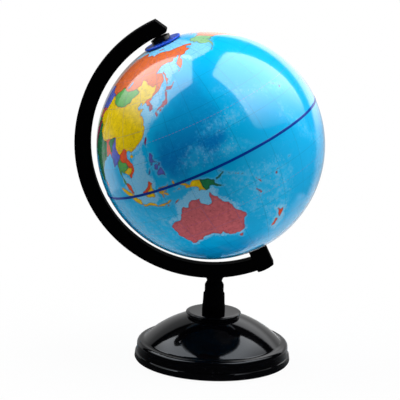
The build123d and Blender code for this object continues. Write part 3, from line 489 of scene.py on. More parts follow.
# Countries are coarse: a point on land takes the region whose outline it lies deepest in, or nearest to.
regionOutlines = {
    "orange": """
    27 60 28 56 31 52 36 50 40 49 42 43.5 47 41.7 48 46 47 50 51 51.5 58 51 61 54 69 55 77 54 81 51 87 49.5
    92 50.6 98 52.2 103 50.4 108 49.6 114 50 119.5 50 120.8 53.2 124 53.3 127 50 131 47.9 135 48.4 133 45
    131 44.5 130.6 42.6 134 42 141 45.6 146 43.5 158 50 166 55 180 60 191 64 191 68 180 73 140 78 105 80 60
    80 40 72 30 70 29 66 31 63 / 44.5 39.5 48.5 38.5 54 37.3 61 36.5 61 31 63 27 61.5 25 57 25.5 50.5 29 48
    30.5 45.5 34 / -141 70 -141 60 -134 59 -130 55 -125 48.5 -95 49 -88 48 -83 46 -82 42.5 -76 44 -71 45 -67
    47.5 -67 44.5 -60 44 -51 46 -56 56 -64 62 -75 78 -62 82.5 -90 83.5 -127 76 / 10 31 11.5 34 25 33 25 20
    15 23 10 25 / 36.5 15 43 12.5 48 8 42 4 36 4.5 34 8 / -17 12.5 -8 12 -5 10.3 0 11 1.5 6 -8 4 -14 8 /
    11.5 -17.2 25 -18 29 -22 25 -25.5 20 -28.5 16.5 -29 / -81.5 -4.5 -79 -5 -75 0 -70 -4 -73 -9 -69 -11 -69
    -17.5 -71 -18.5 -78 -12 / 6 54 7 51 8 47.5 13 48.5 15 51 14 54.5 / 44 -12 51 -11 48 -26 43 -26""",
    "yellow": """
    73.8 39.5 76 40.3 80 42.2 80.5 45 83 47 86 49 90.5 47.5 91 45 96.5 42.7 105 41.5 110.5 42.7 112 45 117
    46.7 119.5 47 116 49.8 119.8 50 121 53.3 126 51 127.5 49.7 131 47.8 134.5 48.4 133 45 131 43.5 130.5
    42.5 128 42 126 41.3 124 40 123 38 124 32 123 26 119 22 112 17.5 108 18 106.8 21.9 105 23 102 22.3 101
    21.5 99.5 22.5 98 24.3 98.6 27.5 95 29 92 27.8 88.5 27.9 85 28.4 81 30.3 78.8 31.5 79 34.3 76 36 / 94 6
    99 4.5 104 0.5 109 0 109.5 1.2 112 1 115 2.5 117.5 4.1 120 2 126 4 130 2 132 -0.5 141 -2 141 -10 136 -9
    128 -8 120 -12 113 -10 103 -8 94 0 / 102.4 13.5 105 14.3 107.5 14 107 12 105.5 10.8 103 10.5 / 53 41.5
    56 45 61.5 44 66 41.5 70.5 42.5 73 40.5 70 37.5 66 37.4 61 36.3 54 37.2 / 35 28 37 31.5 42 31 48 28.5
    50.5 25 55 22.5 52 18.5 45 17 42.5 16.5 39 21 / -2 35.5 8.5 37.5 8 33 10 30 10 24 4 19 -8.7 27.3 -2 32 /
    24 20 25 22 37 22 39 17 34 10 30 9.5 24 9 22 13 / 1 6 1 12 4 13.5 13.5 13.5 12 8 8.5 4.5 / 22 -13 24 -11
    28 -12 33 -9.5 33 -14 30 -16 33 -20 31.5 -22.3 27 -19 22 -17.5 / -117.5 32.6 -106.5 31.8 -103 29 -97 26
    -96 18 -87 22 -87.5 18 -92 14 -106 18 -116 28 / -73 -9 -70 -4 -69 1.5 -63 3 -60 4.5 -52 2 -48 1 -34 -6
    -38 -17 -48 -28 -53.5 -34 -57.5 -30 -54 -25 -58 -20 -60 -14 -65 -10 / 22 51 24 50 31 52 35 51.5 40 49.5
    38 47 33 45.5 30 46 28 48.5 23 48 / -9.5 43.5 -2 43.5 3 42 -1 36.5 -6 36 -7 39 -6.5 42 -9 42 / 11 59
    12.5 63 18 69 24 66 22 65 17 61 19 60 16 56 12 55.5""",
    "leaf": """
    88 49 92 50.6 98 52 103 50 108 49.3 114 50 116.5 49.8 119.8 47 116 46.5 112 44.5 111 43.5 105 41.6 97
    42.7 91 45 / 97.5 18 100 20.2 101.5 18 104.5 17.5 105.5 14.6 102.5 13.6 102 11.5 100 6 98 7 99 12 98.3
    15.5 / 61 30 61 35.5 66 37.5 71 38 74.5 37.2 70 33.5 66 30 / 39 33 42.5 37.3 45 36 48.5 30 47 29 / 25 32
    35 32 36 22 25 22 / 15 23 24 19.5 22 11 18 8 14 13 / 34 5 41.5 4 41.5 -2 39 -4.7 30 -1 30 3.5 / 12 -6 17
    -8 22 -11 22 -13 22 -17.5 12 -17.2 / 16 -28.8 20 -28.5 25 -25.8 29.5 -22 32 -24 33 -27 28 -34 18 -35 /
    -125 48.7 -95 49.3 -88 48 -82.5 45 -82 42 -75 45 -67 47.3 -67 44 -75 35 -79 24 -90 28 -97 25.8 -103 29
    -106.5 31.7 -114.8 32.3 -118 32 / -73 11 -60 10 -60 5 -64 2 -67 2 -68 6 -72 8 / -62.5 -20 -58 -20 -54.5
    -25 -56 -27.5 -58.5 -27 -62 -22.5 / -5 48.5 2 51.5 8 48.5 7 43.5 3 42.5 -1.5 43.5 / 20 42 27 41.5 24 35
    20 38 / 5 58 5 62 14 68 24 71.5 31 71 28 69 18 69 12.5 63 11 59 8 57.5""",
    "mint": """
    -141 70.5 -141 60 -130 55.5 -150 55 -172 51 -170 67 -157 72""",
    "forest": """
    74 36.5 79 34.5 78.8 31.3 81 30.2 80.3 28.7 84 27.4 88 26.5 88.8 28 92 27.6 97 28.2 97 27.2 95 25.5 93.5
    22.5 92 23 91.5 25 89.8 26 88 25 89 21.5 85 17 80.5 7 77 6 72 14 68 21 68 23.8 71 24.5 70 27.5 73 30
    74.5 32 / 141 -2 141 -10 147 -11 152 -12 157 -7 153 -2 / -81.5 -4.5 -79 -5 -76 0 -79 1.5 -82 -1 / -59
    -30 -53 -34 -58 -35 / -24 63 -12 64 -16 67.5 -25 66.5""",
    "brick": """
    110 -9 144 -9.5 156 -24 152 -45 142 -46 112 -37 110 -22 / 69 39.5 71 42.5 80 42.5 74 37.3 68 37 / -17 21
    -13 28 -6 36 -2 35 -2 32 -8.7 27 -12 23 / 24 9 30 9.8 34 9.5 35.5 5 31 3.5 27 5 / 33 -10 40.8 -10.5 41
    -15 36 -22 33 -27 31.5 -22.5 33 -19 30.5 -15.5 34 -14.5 / -78 8 -72 12.5 -72.5 8 -68 6 -67 2 -70 -4 -75
    0 -79 1.5 / 14 45.5 20 46 23 43 20 42 19 41 / 20 60 21 63 26 66 28 70 31 63 28 60 / 80 10 82 8 81 5.5
    79.5 6""",
    "violet": """
    116.5 8 119 12 119 19.5 123 19.5 127 12 127.5 6 124 5 121 6.5 / 47 48.5 51 51 58 50.5 61 53.5 69 55 76.5
    54 80 50.5 87 49 82.5 45.5 80 42.5 75 42.7 70 42 67 41.5 61 44 58.5 45.5 55.5 45 54 42 50 44.5 / 92.3 21
    95 25.5 97.3 28 98.5 26 98 24 99.4 22.3 100.8 21.3 97.8 18 98.5 12 98 9.5 95 15 93 18 / 40 43.5 47 41.8
    50 40 47 38.7 44 40 41.5 41.3 / -17.5 15 -17 21 -12 23.5 -8.7 27 -5 25 -5.5 15.5 -12 15 / 42 4.5 48 8.5
    43 11.5 51.5 12 50 8 41.5 -2 41 2 / 9 4 13 13 15 8 22 10.5 27 5 18 4 16 2 14 -4 9 -1 / -60 8.5 -52 5 -52
    2 -57 2 -60 4.5 -61 6 / -70 -18 -67 -23 -70 -34 -71.5 -46 -71 -52 -66 -55.5 -76 -54 -76 -40 -71 -22 / 7
    44 8 46.5 13.5 46.5 13 45 19 40 16 37 12 37 8 39 8 43 / 23 48 28 48 29 45.5 27 43.8 22.5 44 20.5 46 / 23
    53 27 56 31.5 54 31 52 24 51.6""",
    "crimson": """
    129.3 33.5 129 31 131 30 136 32.5 141.5 34 146 43 141 46 139 42 138 39 135 36.5 131 35 / 125 38 126.5 38
    128.7 38.6 130 37 129.5 35 126 33.5 / 61 25 62 29.5 66 30 69.5 33.5 72 37 76 36 74.5 32 70.5 28 68.5 24
    / 35.5 36.8 42 37 39 33 37 31.5 35 29.5 34.5 31.5 / 4 19 12 23 15 22.5 14 14 4 12.5 1 14 / 30 -1 39.5 -5
    40.5 -10.5 35 -11.5 30 -7 / -92.5 14.5 -90 18 -83 16 -77 9 -79 6.5 -86 9 / -69 -11 -65 -10 -60 -14 -58
    -18 -63 -22 -67 -22 -69 -17 / -11 50 -6 59.5 0 59 2.5 52 -3 49.5 / -9.5 42 -7 42 -7 37 -9.5 37 / 21 54
    21 58 24 59.8 28 59.5 28 56 25 54 / 44 -11 51 -11 48 -27 42 -26 / 119.8 25.8 122.5 25.8 121 21.5 119.6
    23""",
    "vermilion": """
    88 21 88.3 28.2 92 28.2 92.6 21 / 100.8 21.3 102 22.4 105 23.2 107.5 21.6 106 18 109.5 15 110 11 106 8
    104.3 8.3 105.5 10.6 107.2 12.2 107.6 14.2 105.5 14.6 104.5 17.6 101.5 18.2 100.2 20 / 100 6.2 102.2 6.5
    105 1.8 104 0.9 99.8 5 / 108 2 109 0.5 113 0.4 115 0.9 116 2.4 118 3.4 120 5 117 8 113 4.5 / 165 -33 180
    -36 180 -40 170 -48 164 -47 / 124 40.2 126 41.2 128.5 42.2 130.7 42.6 129.5 40 128.6 38.6 126.5 37.9
    124.5 38 / 42.5 16.3 45 17.2 52 19 55.5 22.5 56.5 26.5 60 22 55 16 45 12 / 25.8 41 35 43 44.5 41 44 37.3
    36 36.3 27 36 / -12 15 -5.5 16 -5 25 4 19 4 16 0 13 -5 10 -8 11 / 14 -5 17 3 19 5 27 5 30 3 29.5 -8 28
    -12 22 -11 17 -8 12.5 -6 / -86 23.5 -74 23.5 -64 19 -76 17 / -69 -22.5 -62 -22 -58.5 -27 -56 -27.5 -58
    -34.5 -57 -38 -63 -42 -66 -48 -68 -52 -71 -51 -71 -40 -69.5 -30 / 14 54.5 23 54.5 24 51 22 49 15 50.5 /
    13 48 22 48.5 20 46 14 46.3 / 157 -6 162 -7 169 -20 168 -24 163 -20""",
    "ice": """
    -75 78 -60 84 -30 85 -10 81 -20 70 -43 58 -54 64 -56 72 / -200 -92 -200 -60 200 -60 200 -92 / 10 81 28
    81 24 76 13 76""",
}

# The ball: sizes in metres, angles in degrees. Latitudes of the print are read off against true ones.
mapSet = {
    "facing": 147.2, "columns": 640, "rows": 139, "rimRows": 7, "reach": 9.0, "crease": 35.0,
    "seeds": (3, 8), "wobble": (0.30, 0.20, 0.14), "waves": (38.0, 74.0, 128.0), "wavesEach": 5,
    "narrow": (0.05, 0.15),
    "drawnLat": (-90, -50.8, -40.6, -31, -19, -10.6, -4, 0, 9.4, 18.9, 23.6, 33.6, 39.4, 47.1, 55.6, 68.7,
                 90),
    "trueLat": (-90, -50, -40, -30, -20.5, -12, -5, 0, 9, 19, 23, 31, 36, 44, 52, 66, 90),
    "wall": 0.0014, "seam": 0.0008, "poleCut": 0.0008, "hole": 0.00502, "seatRadius": 0.010,
    "poleWall": 0.0022,
}
ballRadius = float(np.abs(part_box("north_hemisphere")[1][1]))


def readOutlines(text):
    parts = re.split("[A-Za-z/]+", text)
    return [np.array(part.split(), float).reshape(-1, 2) for part in parts if part.strip()]


# Distance in degrees from each point to the outline's nearest edge, positive inside.
# East is narrowed by the cosine of latitude.
def outlineDepth(lon, lat, corner, reach):
    middle = (corner[:, 0].min() + corner[:, 0].max()) / 2
    x = lon + 360.0 * np.round((middle - lon) / 360.0)
    narrow = np.maximum(np.cos(np.radians(lat)), mapSet["narrow"][0])
    low, high = corner.min(0) - reach, corner.max(0) + reach
    side = reach / narrow - reach
    near = (x > low[0] - side) & (x < high[0] + side) & (lat > low[1]) & (lat < high[1])
    depth = np.full(lon.shape, -reach)
    if not near.any():
        return depth
    px, py, nw = x[near], lat[near], narrow[near]
    best = np.full(px.shape, reach**2)
    inside = np.zeros(px.shape, bool)
    for (ax, ay), (bx, by) in zip(corner, np.roll(corner, -1, 0)):
        ux, uy, vx, vy = (bx - ax) * nw, by - ay, (px - ax) * nw, py - ay
        along = np.clip((vx * ux + vy * uy) / np.maximum(ux * ux + uy * uy, 1e-9), 0, 1)
        best = np.minimum(best, (vx - along * ux) ** 2 + (vy - along * uy) ** 2)
        if ay != by:
            inside ^= ((ay > py) != (by > py)) & (px < (bx - ax) * (py - ay) / (by - ay) + ax)
    gap = np.sqrt(best)
    depth[near] = np.where(inside, gap, -gap)
    return depth


# Small sideways shifts made of sine waves over the sphere give the outlines a natural crinkle.
def crinkle(points, seed):
    pick = np.random.default_rng(seed)
    shift = np.zeros(points.shape[0])
    for size, wave in zip(mapSet["wobble"], mapSet["waves"]):
        for _ in range(mapSet["wavesEach"]):
            way = pick.normal(size=3)
            phase = points @ (way / np.linalg.norm(way)) * wave
            shift += size * 0.5 * np.sin(phase + pick.uniform(0, 2 * pi))
    return shift


# Half shell: a closed section carried round the axle, of the outer sphere, the flat pole, its hole, the seat
# inside, the inner sphere and the rim at the seam.
def halfShell(side):
    s = mapSet
    flat = ballRadius - s["poleCut"]
    seat = flat - s["poleWall"]
    inner = ballRadius - s["wall"]
    low, high = np.arcsin(s["seam"] / ballRadius), np.arcsin(flat / ballRadius)
    lat = np.linspace(low, high, s["rows"])
    rim = np.linspace(np.arccos(s["seatRadius"] / inner), np.arcsin(s["seam"] / inner), s["rimRows"])
    across = np.concatenate([ballRadius * np.cos(lat), [s["hole"], s["hole"], s["seatRadius"]],
                             inner * np.cos(rim), [ballRadius * np.cos(low)]])
    height = np.concatenate([ballRadius * np.sin(lat), [flat, seat, seat],
                             inner * np.sin(rim), [ballRadius * np.sin(low)]])[:, None] * side
    turn = np.linspace(0, 2 * pi, s["columns"], endpoint=False)
    faces = gridFaces(len(across), s["columns"], True)
    across = across[:, None]
    local = np.stack([across * np.cos(turn), across * np.sin(turn), height + 0 * turn], -1)
    return local.reshape(-1, 3), faces if side > 0 else faces[:, ::-1]


# Each point of a shell keeps its depth in the land, in the forms of the sea floor, and in every region.
def printMap(piece, local):
    unit = local / np.linalg.norm(local, axis=1, keepdims=True)
    drawn = np.degrees(np.arcsin(np.clip(unit[:, 2], -1, 1)))
    lat = np.interp(drawn, mapSet["drawnLat"], mapSet["trueLat"])
    lon = mapSet["facing"] + np.degrees(np.arctan2(unit[:, 1], unit[:, 0]))
    east, north = (crinkle(unit, seed) for seed in mapSet["seeds"])
    lon = lon + east / np.maximum(np.cos(np.radians(lat)), mapSet["narrow"][1])
    lat = np.clip(lat + north, -90, 90)

    def deepest(text):
        outlines = readOutlines(text)
        return np.max([outlineDepth(lon, lat, corner, mapSet["reach"]) for corner in outlines], 0)

    pointValues(piece, "coast", np.minimum(deepest(landOutlines), -deepest(innerSeas)))
    for name, text in {**seaOutlines, **regionOutlines}.items():
        pointValues(piece, name, deepest(text))


# Print of the ball: tones, then noises (scale, detail, roughness, twist), cells (scale, channel, share),
# and masks (where each starts, where it is full, and how strong it is there)
printSet = {
    "orange": rgb(0.71, 0.15, 0.038), "yellow": rgb(0.80, 0.59, 0.002), "leaf": rgb(0.10, 0.42, 0.09),
    "mint": rgb(0.26, 0.54, 0.27), "forest": rgb(0.012, 0.20, 0.075), "brick": rgb(0.57, 0.12, 0.14),
    "violet": rgb(0.10, 0.15, 0.60), "crimson": rgb(0.33, 0.014, 0.08), "vermilion": rgb(0.76, 0.10, 0.025),
    "ice": rgb(0.70, 0.74, 0.78), "hillShade": rgb(0.55, 0.55, 0.58), "hillLight": rgb(1.35, 1.33, 1.3),
    "ribbonTint": rgb(0.86, 0.42, 0.45), "borderInk": rgb(0.10, 0.03, 0.04), "deep": rgb(0.0, 0.29, 0.62),
    "coastInk": rgb(0.03, 0.10, 0.22), "abyss": rgb(0.0, 0.19, 0.55), "open": rgb(0.0, 0.40, 0.76),
    "ridge": rgb(0.015, 0.50, 0.88), "shelfTone": rgb(0.25, 0.60, 0.85), "isleInk": rgb(0.10, 0.05, 0.08),
    "townInk": rgb(0.02, 0.01, 0.015), "gridInk": rgb(0.0, 0.09, 0.27), "circleInk": rgb(0.35, 0.06, 0.30),
    # the near-black tone below is painted shade that the print takes only in the gloss, not ink
    "mirrorShadeTone": rgb(0.0, 0.0, 0.002), "dustTone": rgb(0.5, 0.52, 0.55),
    "fine": (60.0, 4.0, 0.6), "hill": (26.0, 6.0, 0.62), "broad": (5.0, 5.0, 0.55), "warp": (14.0, 3.0),
    "grain": (48.0, 5.0, 0.65), "wisp": (20.0, 7.0, 0.68), "mottle": (90.0, 4.0, 0.6),
    "bent": (9.0, 6.0, 0.6, 1.2), "fineSway": 0.7, "basinSway": 16.0, "riseSway": 14.0, "coastSway": 3.0,
    "shelfSway": 6.0, "warpDepth": 0.09,
    "provinces": 11.0, "towns": (34.0, 0, 0.45), "isles": (52.0, 1, 0.78),
    "land": (-0.05, 0.05), "shore": (0.22, 0.08, 0.55), "ribbon": (1.5, 0.5, 0.45), "ribbonCoast": 1.6,
    "border": (0.30, 0.10, 0.75), "province": (0.04, 0.015, 0.2), "town": (0.15, 0.10, 0.85),
    "crest": (0.03, 0.0, 0.35), "crestPatch": (0.45, 0.6), "abyssLat": (10.0, 30.0),
    "riseEdge": (-3.0, 4.0), "riseWeight": 0.55, "wispEdge": (0.44, 0.68, 0.4), "shelfEdge": (-0.6, 1.4),
    "grainEdge": (0.55, 0.8, 0.25), "shallow": (-1.5, 0.3, 0.4), "mottleRange": (0.35, 0.65, 0.5, 1.0),
    "isleZone": (-0.5, 0.8, 0.9), "reef": (0.34, 0.16, 0.6), "isle": (0.14, 0.09), "basinEdge": (5.0, -6.0),
    "gridStep": 15.0, "lineWidth": 0.11, "lineEdge": (0.6, 1.5), "gridWeight": 0.4, "gridEnd": 82.0,
    "circles": (23.4, 66.6), "circle": (0.2, 0.08, 0.35), "dashes": 0.5, "dashGap": 0.35,
    "peel": 260.0, "rough": (0.22, 0.3), "dust": 0.12, "bump": (0.02, 0.0002), "mirrorShadeWeight": 0.85,
    "outside": -20.0,
    "coat": {"Specular IOR Level": 0.08, "Coat Weight": 1.0, "Coat Roughness": 0.08, "Coat IOR": 1.5},
}


# One more region joins the running best: keep the deepest, its tint, and the runner-up for the border line.
def makeRegionGroup():
    labels = ("Best", "Second", "Colour")
    kinds = {"Colour": "Color", "Tint": "Color"}
    t, given, out = newGroup("mapRegion", (*labels, "Depth", "Tint"), labels, kinds)
    best, depth = given["Best"], given["Depth"]
    second = t.most(given["Second"], t.math("MINIMUM", best, depth))
    colour = t.blend(t.math("GREATER_THAN", depth, best), given["Colour"], given["Tint"])
    for label, value in zip(labels, (t.most(best, depth), second, colour)):
        t.link(value, out, label)
    return t.tree


# Distance to the nearest of a family of evenly spaced lines, in degrees, turned into a thin mask
def makeLineGroup():
    t, given, out = newGroup("ruledLine", ("Angle", "Spacing", "Width"), ("Mask",), {})
    off = t.math("PINGPONG", given["Angle"], t.times(given["Spacing"], 0.5))
    inner, outer = (t.times(given["Width"], share) for share in printSet["lineEdge"])
    t.link(t.scaled(off, inner, outer, 1.0, 0.0), out, "Mask")
    return t.tree


def makeMapMaterial():
    p = printSet
    material, t, shader, spot = newMaterial("mapPrint", p["coat"])
    unit = t.add("VectorMath", {0: onAxle(t, spot)}, operation="NORMALIZE").outputs[0]
    front, east, north = t.axes(unit)
    lat = t.math("DEGREES", t.math("ARCSINE", north))
    lon = t.math("DEGREES", t.math("ARCTAN2", east, front))
    lon = t.plus(lon, mapSet["facing"] + 720.0)  # two turns on, so never below zero
    away = t.size(lat)
    layers = ("coast", *seaOutlines, *regionOutlines)
    value = {name: t.add("Attribute", attribute_name=name).outputs["Fac"] for name in layers}
    coast = t.plus(value["coast"], t.sway(t.noise(unit, *p["fine"]), p["fineSway"]))

    # land: tints, ribbons along the borders, faint hill shade
    best, second, colour = p["outside"], p["outside"], p["orange"]
    for name in regionOutlines:
        best, second, colour = t.group(regionGroup, best, second, colour, value[name], p[name])
    gap = t.minus(best, second)
    ribbon = t.step(t.math("MINIMUM", gap, t.times(coast, p["ribbonCoast"])), *p["ribbon"])
    warp = {0: t.noise(unit, *p["warp"], output="Color"), 1: (p["warpDepth"],) * 3, 2: unit}
    bentUnit = t.add("VectorMath", warp, operation="MULTIPLY_ADD").outputs[0]
    province = t.step(t.cells(bentUnit, p["provinces"], "DISTANCE_TO_EDGE")["Distance"], *p["province"])
    town, chosen = t.scatter(unit, *p["towns"])
    hill = t.blend(t.noise(unit, *p["hill"]), p["hillShade"], p["hillLight"])
    tint = t.blend(1.0, colour, hill, "MULTIPLY")
    tint = t.blend(ribbon, tint, t.blend(1.0, colour, p["ribbonTint"], "MULTIPLY"))
    tint = t.blend(t.most(t.step(gap, *p["border"]), province), tint, p["borderInk"])
    tint = t.blend(t.times(t.step(town, *p["town"]), chosen), tint, p["townInk"])

    # sea: basins and ridges of the sea floor, paler on the shelves and beside every coast
    broad = t.noise(unit, *p["broad"])
    grain = t.noise(unit, *p["grain"])
    sunk = t.step(t.plus(value["basin"], t.sway(broad, p["basinSway"])), *p["basinEdge"])
    sea = t.blend(sunk, t.blend(t.step(away, *p["abyssLat"]), p["abyss"], p["deep"]), p["open"])
    swell = t.step(t.plus(value["rise"], t.sway(grain, p["riseSway"])), *p["riseEdge"])
    sea = t.blend(t.times(swell, p["riseWeight"]), sea, p["ridge"])
    wisp = t.step(t.noise(unit, *p["wisp"]), *p["wispEdge"])
    sea = t.blend(t.times(wisp, swell), sea, p["shelfTone"])
    crest = t.step(t.size(t.minus(t.noise(unit, *p["bent"]), 0.5)), *p["crest"])
    sea = t.blend(t.times(crest, t.step(broad, *p["crestPatch"]), grain), sea, p["ridge"])
    sea = t.blend(t.step(grain, *p["grainEdge"]), sea, p["ridge"])
    shallow = t.step(t.plus(coast, t.sway(grain, p["coastSway"])), *p["shallow"])
    shelf = t.step(t.plus(value["shelf"], t.sway(grain, p["shelfSway"])), *p["shelfEdge"])
    mottle = t.scaled(t.noise(unit, *p["mottle"]), *p["mottleRange"])
    sea = t.blend(t.times(t.most(shallow, shelf), mottle), sea, p["shelfTone"])
    isle, sparse = t.scatter(unit, *p["isles"])
    speck = t.times(sparse, t.step(value["rise"], *p["isleZone"]))
    sea = t.blend(t.times(t.step(isle, *p["reef"]), speck), sea, p["shelfTone"])
    sea = t.blend(t.times(t.step(isle, *p["isle"]), speck), sea, p["isleInk"])

    # ruled lines: meridians and parallels, and dashed tropics and polar circles
    upright = t.most(t.math("COSINE", t.math("RADIANS", lat)), mapSet["narrow"][0])
    meridian = t.group(lineGroup, lon, p["gridStep"], t.math("DIVIDE", p["lineWidth"], upright))[0]
    meridian = t.times(meridian, t.math("LESS_THAN", away, p["gridEnd"]))
    parallel = t.group(lineGroup, t.plus(lat, 180.0), p["gridStep"], p["lineWidth"])[0]  # never below zero
    dash = t.math("GREATER_THAN", t.math("FRACT", t.times(lon, p["dashes"])), p["dashGap"])
    circles = (t.step(t.size(t.minus(away, at)), *p["circle"]) for at in p["circles"])

    printed = t.blend(t.step(coast, *p["land"]), sea, tint)
    printed = t.blend(t.step(t.size(coast), *p["shore"]), printed, p["coastInk"])
    printed = t.blend(t.times(t.most(meridian, parallel), p["gridWeight"]), printed, p["gridInk"])
    printed = t.blend(t.times(t.most(*circles), dash), printed, p["circleInk"])
    # painted shade: to gloss rays the print is painted near black, so the ball's reflection in the gloss of the
    # black base shows dark, as if its underside lay in shade
    mirrored = t.times(t.add("LightPath").outputs["Is Glossy Ray"], p["mirrorShadeWeight"])
    printed = t.blend(mirrored, printed, p["mirrorShadeTone"])
    height, rough, dust = t.group(skinGroup, spot, p["peel"], *p["rough"], p["dust"])
    t.dress(shader, t.blend(dust, printed, p["dustTone"]), rough, height, p["bump"])
    return material


regionGroup = makeRegionGroup()
lineGroup = makeLineGroup()
mapPrint = makeMapMaterial()
for name, side in (("north_hemisphere", 1), ("south_hemisphere", -1)):
    local, faces = halfShell(side)
    shell = addMesh(name.split("_")[0] + "MapShell", local @ globeTurn.T + globeCentre, faces, mapPrint)
    shell.data.polygons.foreach_set("use_smooth", np.full(len(faces), True))
    printMap(shell, local)
    shell.data.set_sharp_from_angle(angle=radians(mapSet["crease"]))
    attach(shell, "globe")
    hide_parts(name)
    print("map shell", shell.name, len(faces) * 2, "triangles")

# CAD nodes keep their shape and take the finishes
slotOf = {row["node"]: row["material_slot"] for row in frame["record"]["subparts"]}
for name, piece in nodes.items():
    if slotOf[name] in slotMaterials:
        piece.data.materials.clear()
        piece.data.materials.append(nodeMaterials.get(name, slotMaterials[slotOf[name]]))
print("nodes dressed")

# Camera where the photo was taken from: pixel is where the ball's centre lies in a square frame
cameraSet = {"distance": 1.378, "elevation": 12.2, "roll": 1.9, "focal": 2217.0, "pixel": (210.7, 145.2),
             "frame": 400.0, "sensor": 36.0, "clip": (0.05, 50.0)}


def placeCamera():
    s = cameraSet
    e, roll = radians(s["elevation"]), radians(s["roll"])
    look = np.array([0, cos(e), -sin(e)])
    eye = globeCentre - s["distance"] * look
    level = np.array([1.0, 0, 0])
    right = cos(roll) * level + sin(roll) * np.cross(level, look)
    x, y = ((p - s["frame"] / 2) / s["focal"] for p in s["pixel"])
    aim = look - x * right + y * np.cross(right, look)
    aim /= np.linalg.norm(aim)
    right -= aim * (right @ aim)
    right /= np.linalg.norm(right)
    lens = bpy.data.cameras.new("photoCamera")
    lens.sensor_width = s["sensor"]
    lens.lens = s["focal"] / s["frame"] * s["sensor"]
    lens.clip_start, lens.clip_end = s["clip"]
    camera = bpy.data.objects.new("photoCamera", lens)
    turn = Matrix(np.stack([right, np.cross(right, aim), -aim], 1).tolist()).to_4x4()
    camera.matrix_world = Matrix.Translation(Vector(eye)) @ turn
    scene.collection.objects.link(camera)
    scene.camera = camera


placeCamera()

# Soft panels with rounded corners: where the middle stands from the ball, which way it runs and rises,
# its size, where along the rise it is dark and full, and its power
panelSet = {"corner": 9.0, "rim": (1.0, 0.85)}
lightSet = {
    "leftPanel": {"middle": (-0.351, 0.034, 0.443), "along": (-0.096, -0.991, 0.095),
                  "rise": (0.384, 0.051, 0.922), "size": (0.556, 0.719), "fade": (-0.02, 0.35),
                  "power": 5.4},
    "rightPanel": {"middle": (0.166, 0.025, 0.391), "along": (-0.225, -0.962, 0.158),
                   "rise": (0.406, -0.240, -0.882), "size": (0.44, 0.642), "fade": (1.07, 0.70),
                   "power": 4.2},
}


def placePanel(name, s):
    lamp = bpy.data.lights.new(name, "AREA")
    lamp.shape = "RECTANGLE"
    lamp.size, lamp.size_y = s["size"]
    lamp.energy = s["power"]
    lamp.use_nodes = True
    t = Tree(lamp.node_tree)
    spread = t.axes(t.add("NewGeometry").outputs["Parametric"])[:2]
    edges = (t.size(t.minus(t.times(axis, 2.0), 1.0)) for axis in spread)
    inside = t.step(t.plus(*(t.math("POWER", edge, panelSet["corner"]) for edge in edges)), *panelSet["rim"])
    glow = t.add("Emission", {"Strength": t.times(t.step(spread[1], *s["fade"]), inside)}).outputs[0]
    t.link(glow, t.add("OutputLight"), 0)
    holder = bpy.data.objects.new(name, lamp)
    along = Vector(s["along"]).normalized()
    facing = along.cross(Vector(s["rise"])).normalized()
    turn = Matrix((along, facing.cross(along), facing)).transposed().to_4x4()
    holder.matrix_world = Matrix.Translation(Vector(globeCentre) + Vector(s["middle"])) @ turn
    holder.visible_camera = False
    scene.collection.objects.link(holder)


for name, s in lightSet.items():
    placePanel(name, s)

# Floor: rings and spokes round the column; white to the camera apart from a trace of the object's shadow.
# The gloss sees it dark in front and pale behind; bounce is its light on the object, behind and in front.
floorSet = {
    "hole": 0.002, "reach": 0.25, "rings": 12, "spokes": 96, "height": -0.0001, "fade": (0.05, 0.23),
    "white": 0.94, "tone": grey(0.9), "farTone": grey(0.75), "mirrorTone": grey(0.02),
    "mirrorFar": grey(0.05), "backLeft": grey(0.3), "backRight": grey(0.62), "middle": (-0.05, 0.05),
    "slant": 0.25, "pale": (-0.04, 0.03), "bounce": (3.2, 0.65), "bounceFade": (0.22, 0.08),
    "back": (-0.02, 0.08),
    "finish": {"Roughness": 0.9, "Specular IOR Level": 0.1, "Emission Color": grey(1.0)},
}


def makeFloor():
    s = floorSet
    material, t, shader, spot = newMaterial("paleFloor", s["finish"])
    rays = t.add("LightPath").outputs
    x, y = t.axes(spot)[:2]
    far = t.add("VectorMath", {0: spot}, operation="LENGTH").outputs["Value"]
    faded = t.step(far, *s["fade"])
    behind = t.step(t.minus(y, t.times(t.size(x), s["slant"])), *s["pale"])
    pale = t.blend(t.step(x, *s["middle"]), s["backLeft"], s["backRight"])
    mirrored = t.blend(behind, t.blend(faded, s["mirrorTone"], s["mirrorFar"]), pale)
    colour = t.blend(rays["Is Glossy Ray"], t.blend(faded, s["tone"], s["farTone"]), mirrored)
    t.link(colour, shader, "Base Color")
    lifted = t.step(y, *s["back"], *s["bounce"])
    bounce = t.times(rays["Is Diffuse Ray"], t.step(far, *s["bounceFade"]), lifted)
    t.link(bounce, shader, "Emission Strength")
    white = t.scaled(faded, 0.0, 1.0, s["white"], 1.0)
    seen = t.times(t.most(rays["Is Camera Ray"], rays["Is Transmission Ray"]), white)
    mixed = t.add("MixShader", {0: seen, 1: shader.outputs[0], 2: t.add("Emission").outputs[0]})
    t.link(mixed.outputs[0], t.out, 0)
    ring = np.linspace(s["hole"], s["reach"], s["rings"])[:, None]
    turn = np.linspace(0, 2 * pi, s["spokes"], endpoint=False)[None, :]
    points = np.stack([ring * np.cos(turn), ring * np.sin(turn), 0 * ring * turn + s["height"]], -1)
    addMesh("floor", points, gridFaces(s["rings"], s["spokes"], True), material)


makeFloor()

# Backdrop: a pale upright half oval close behind, seen only in the gloss.
# High up it is bright on the right and dim on the left.
sheetSet = {"half": 0.46, "top": 0.36, "far": 0.31, "margin": 1.05, "grid": (4, 5), "edge": (1.04, 0.92),
            "low": 0.5, "high": (1.55, 0.35), "split": (0.10, 0.20), "sweep": (-0.08, 0.0)}


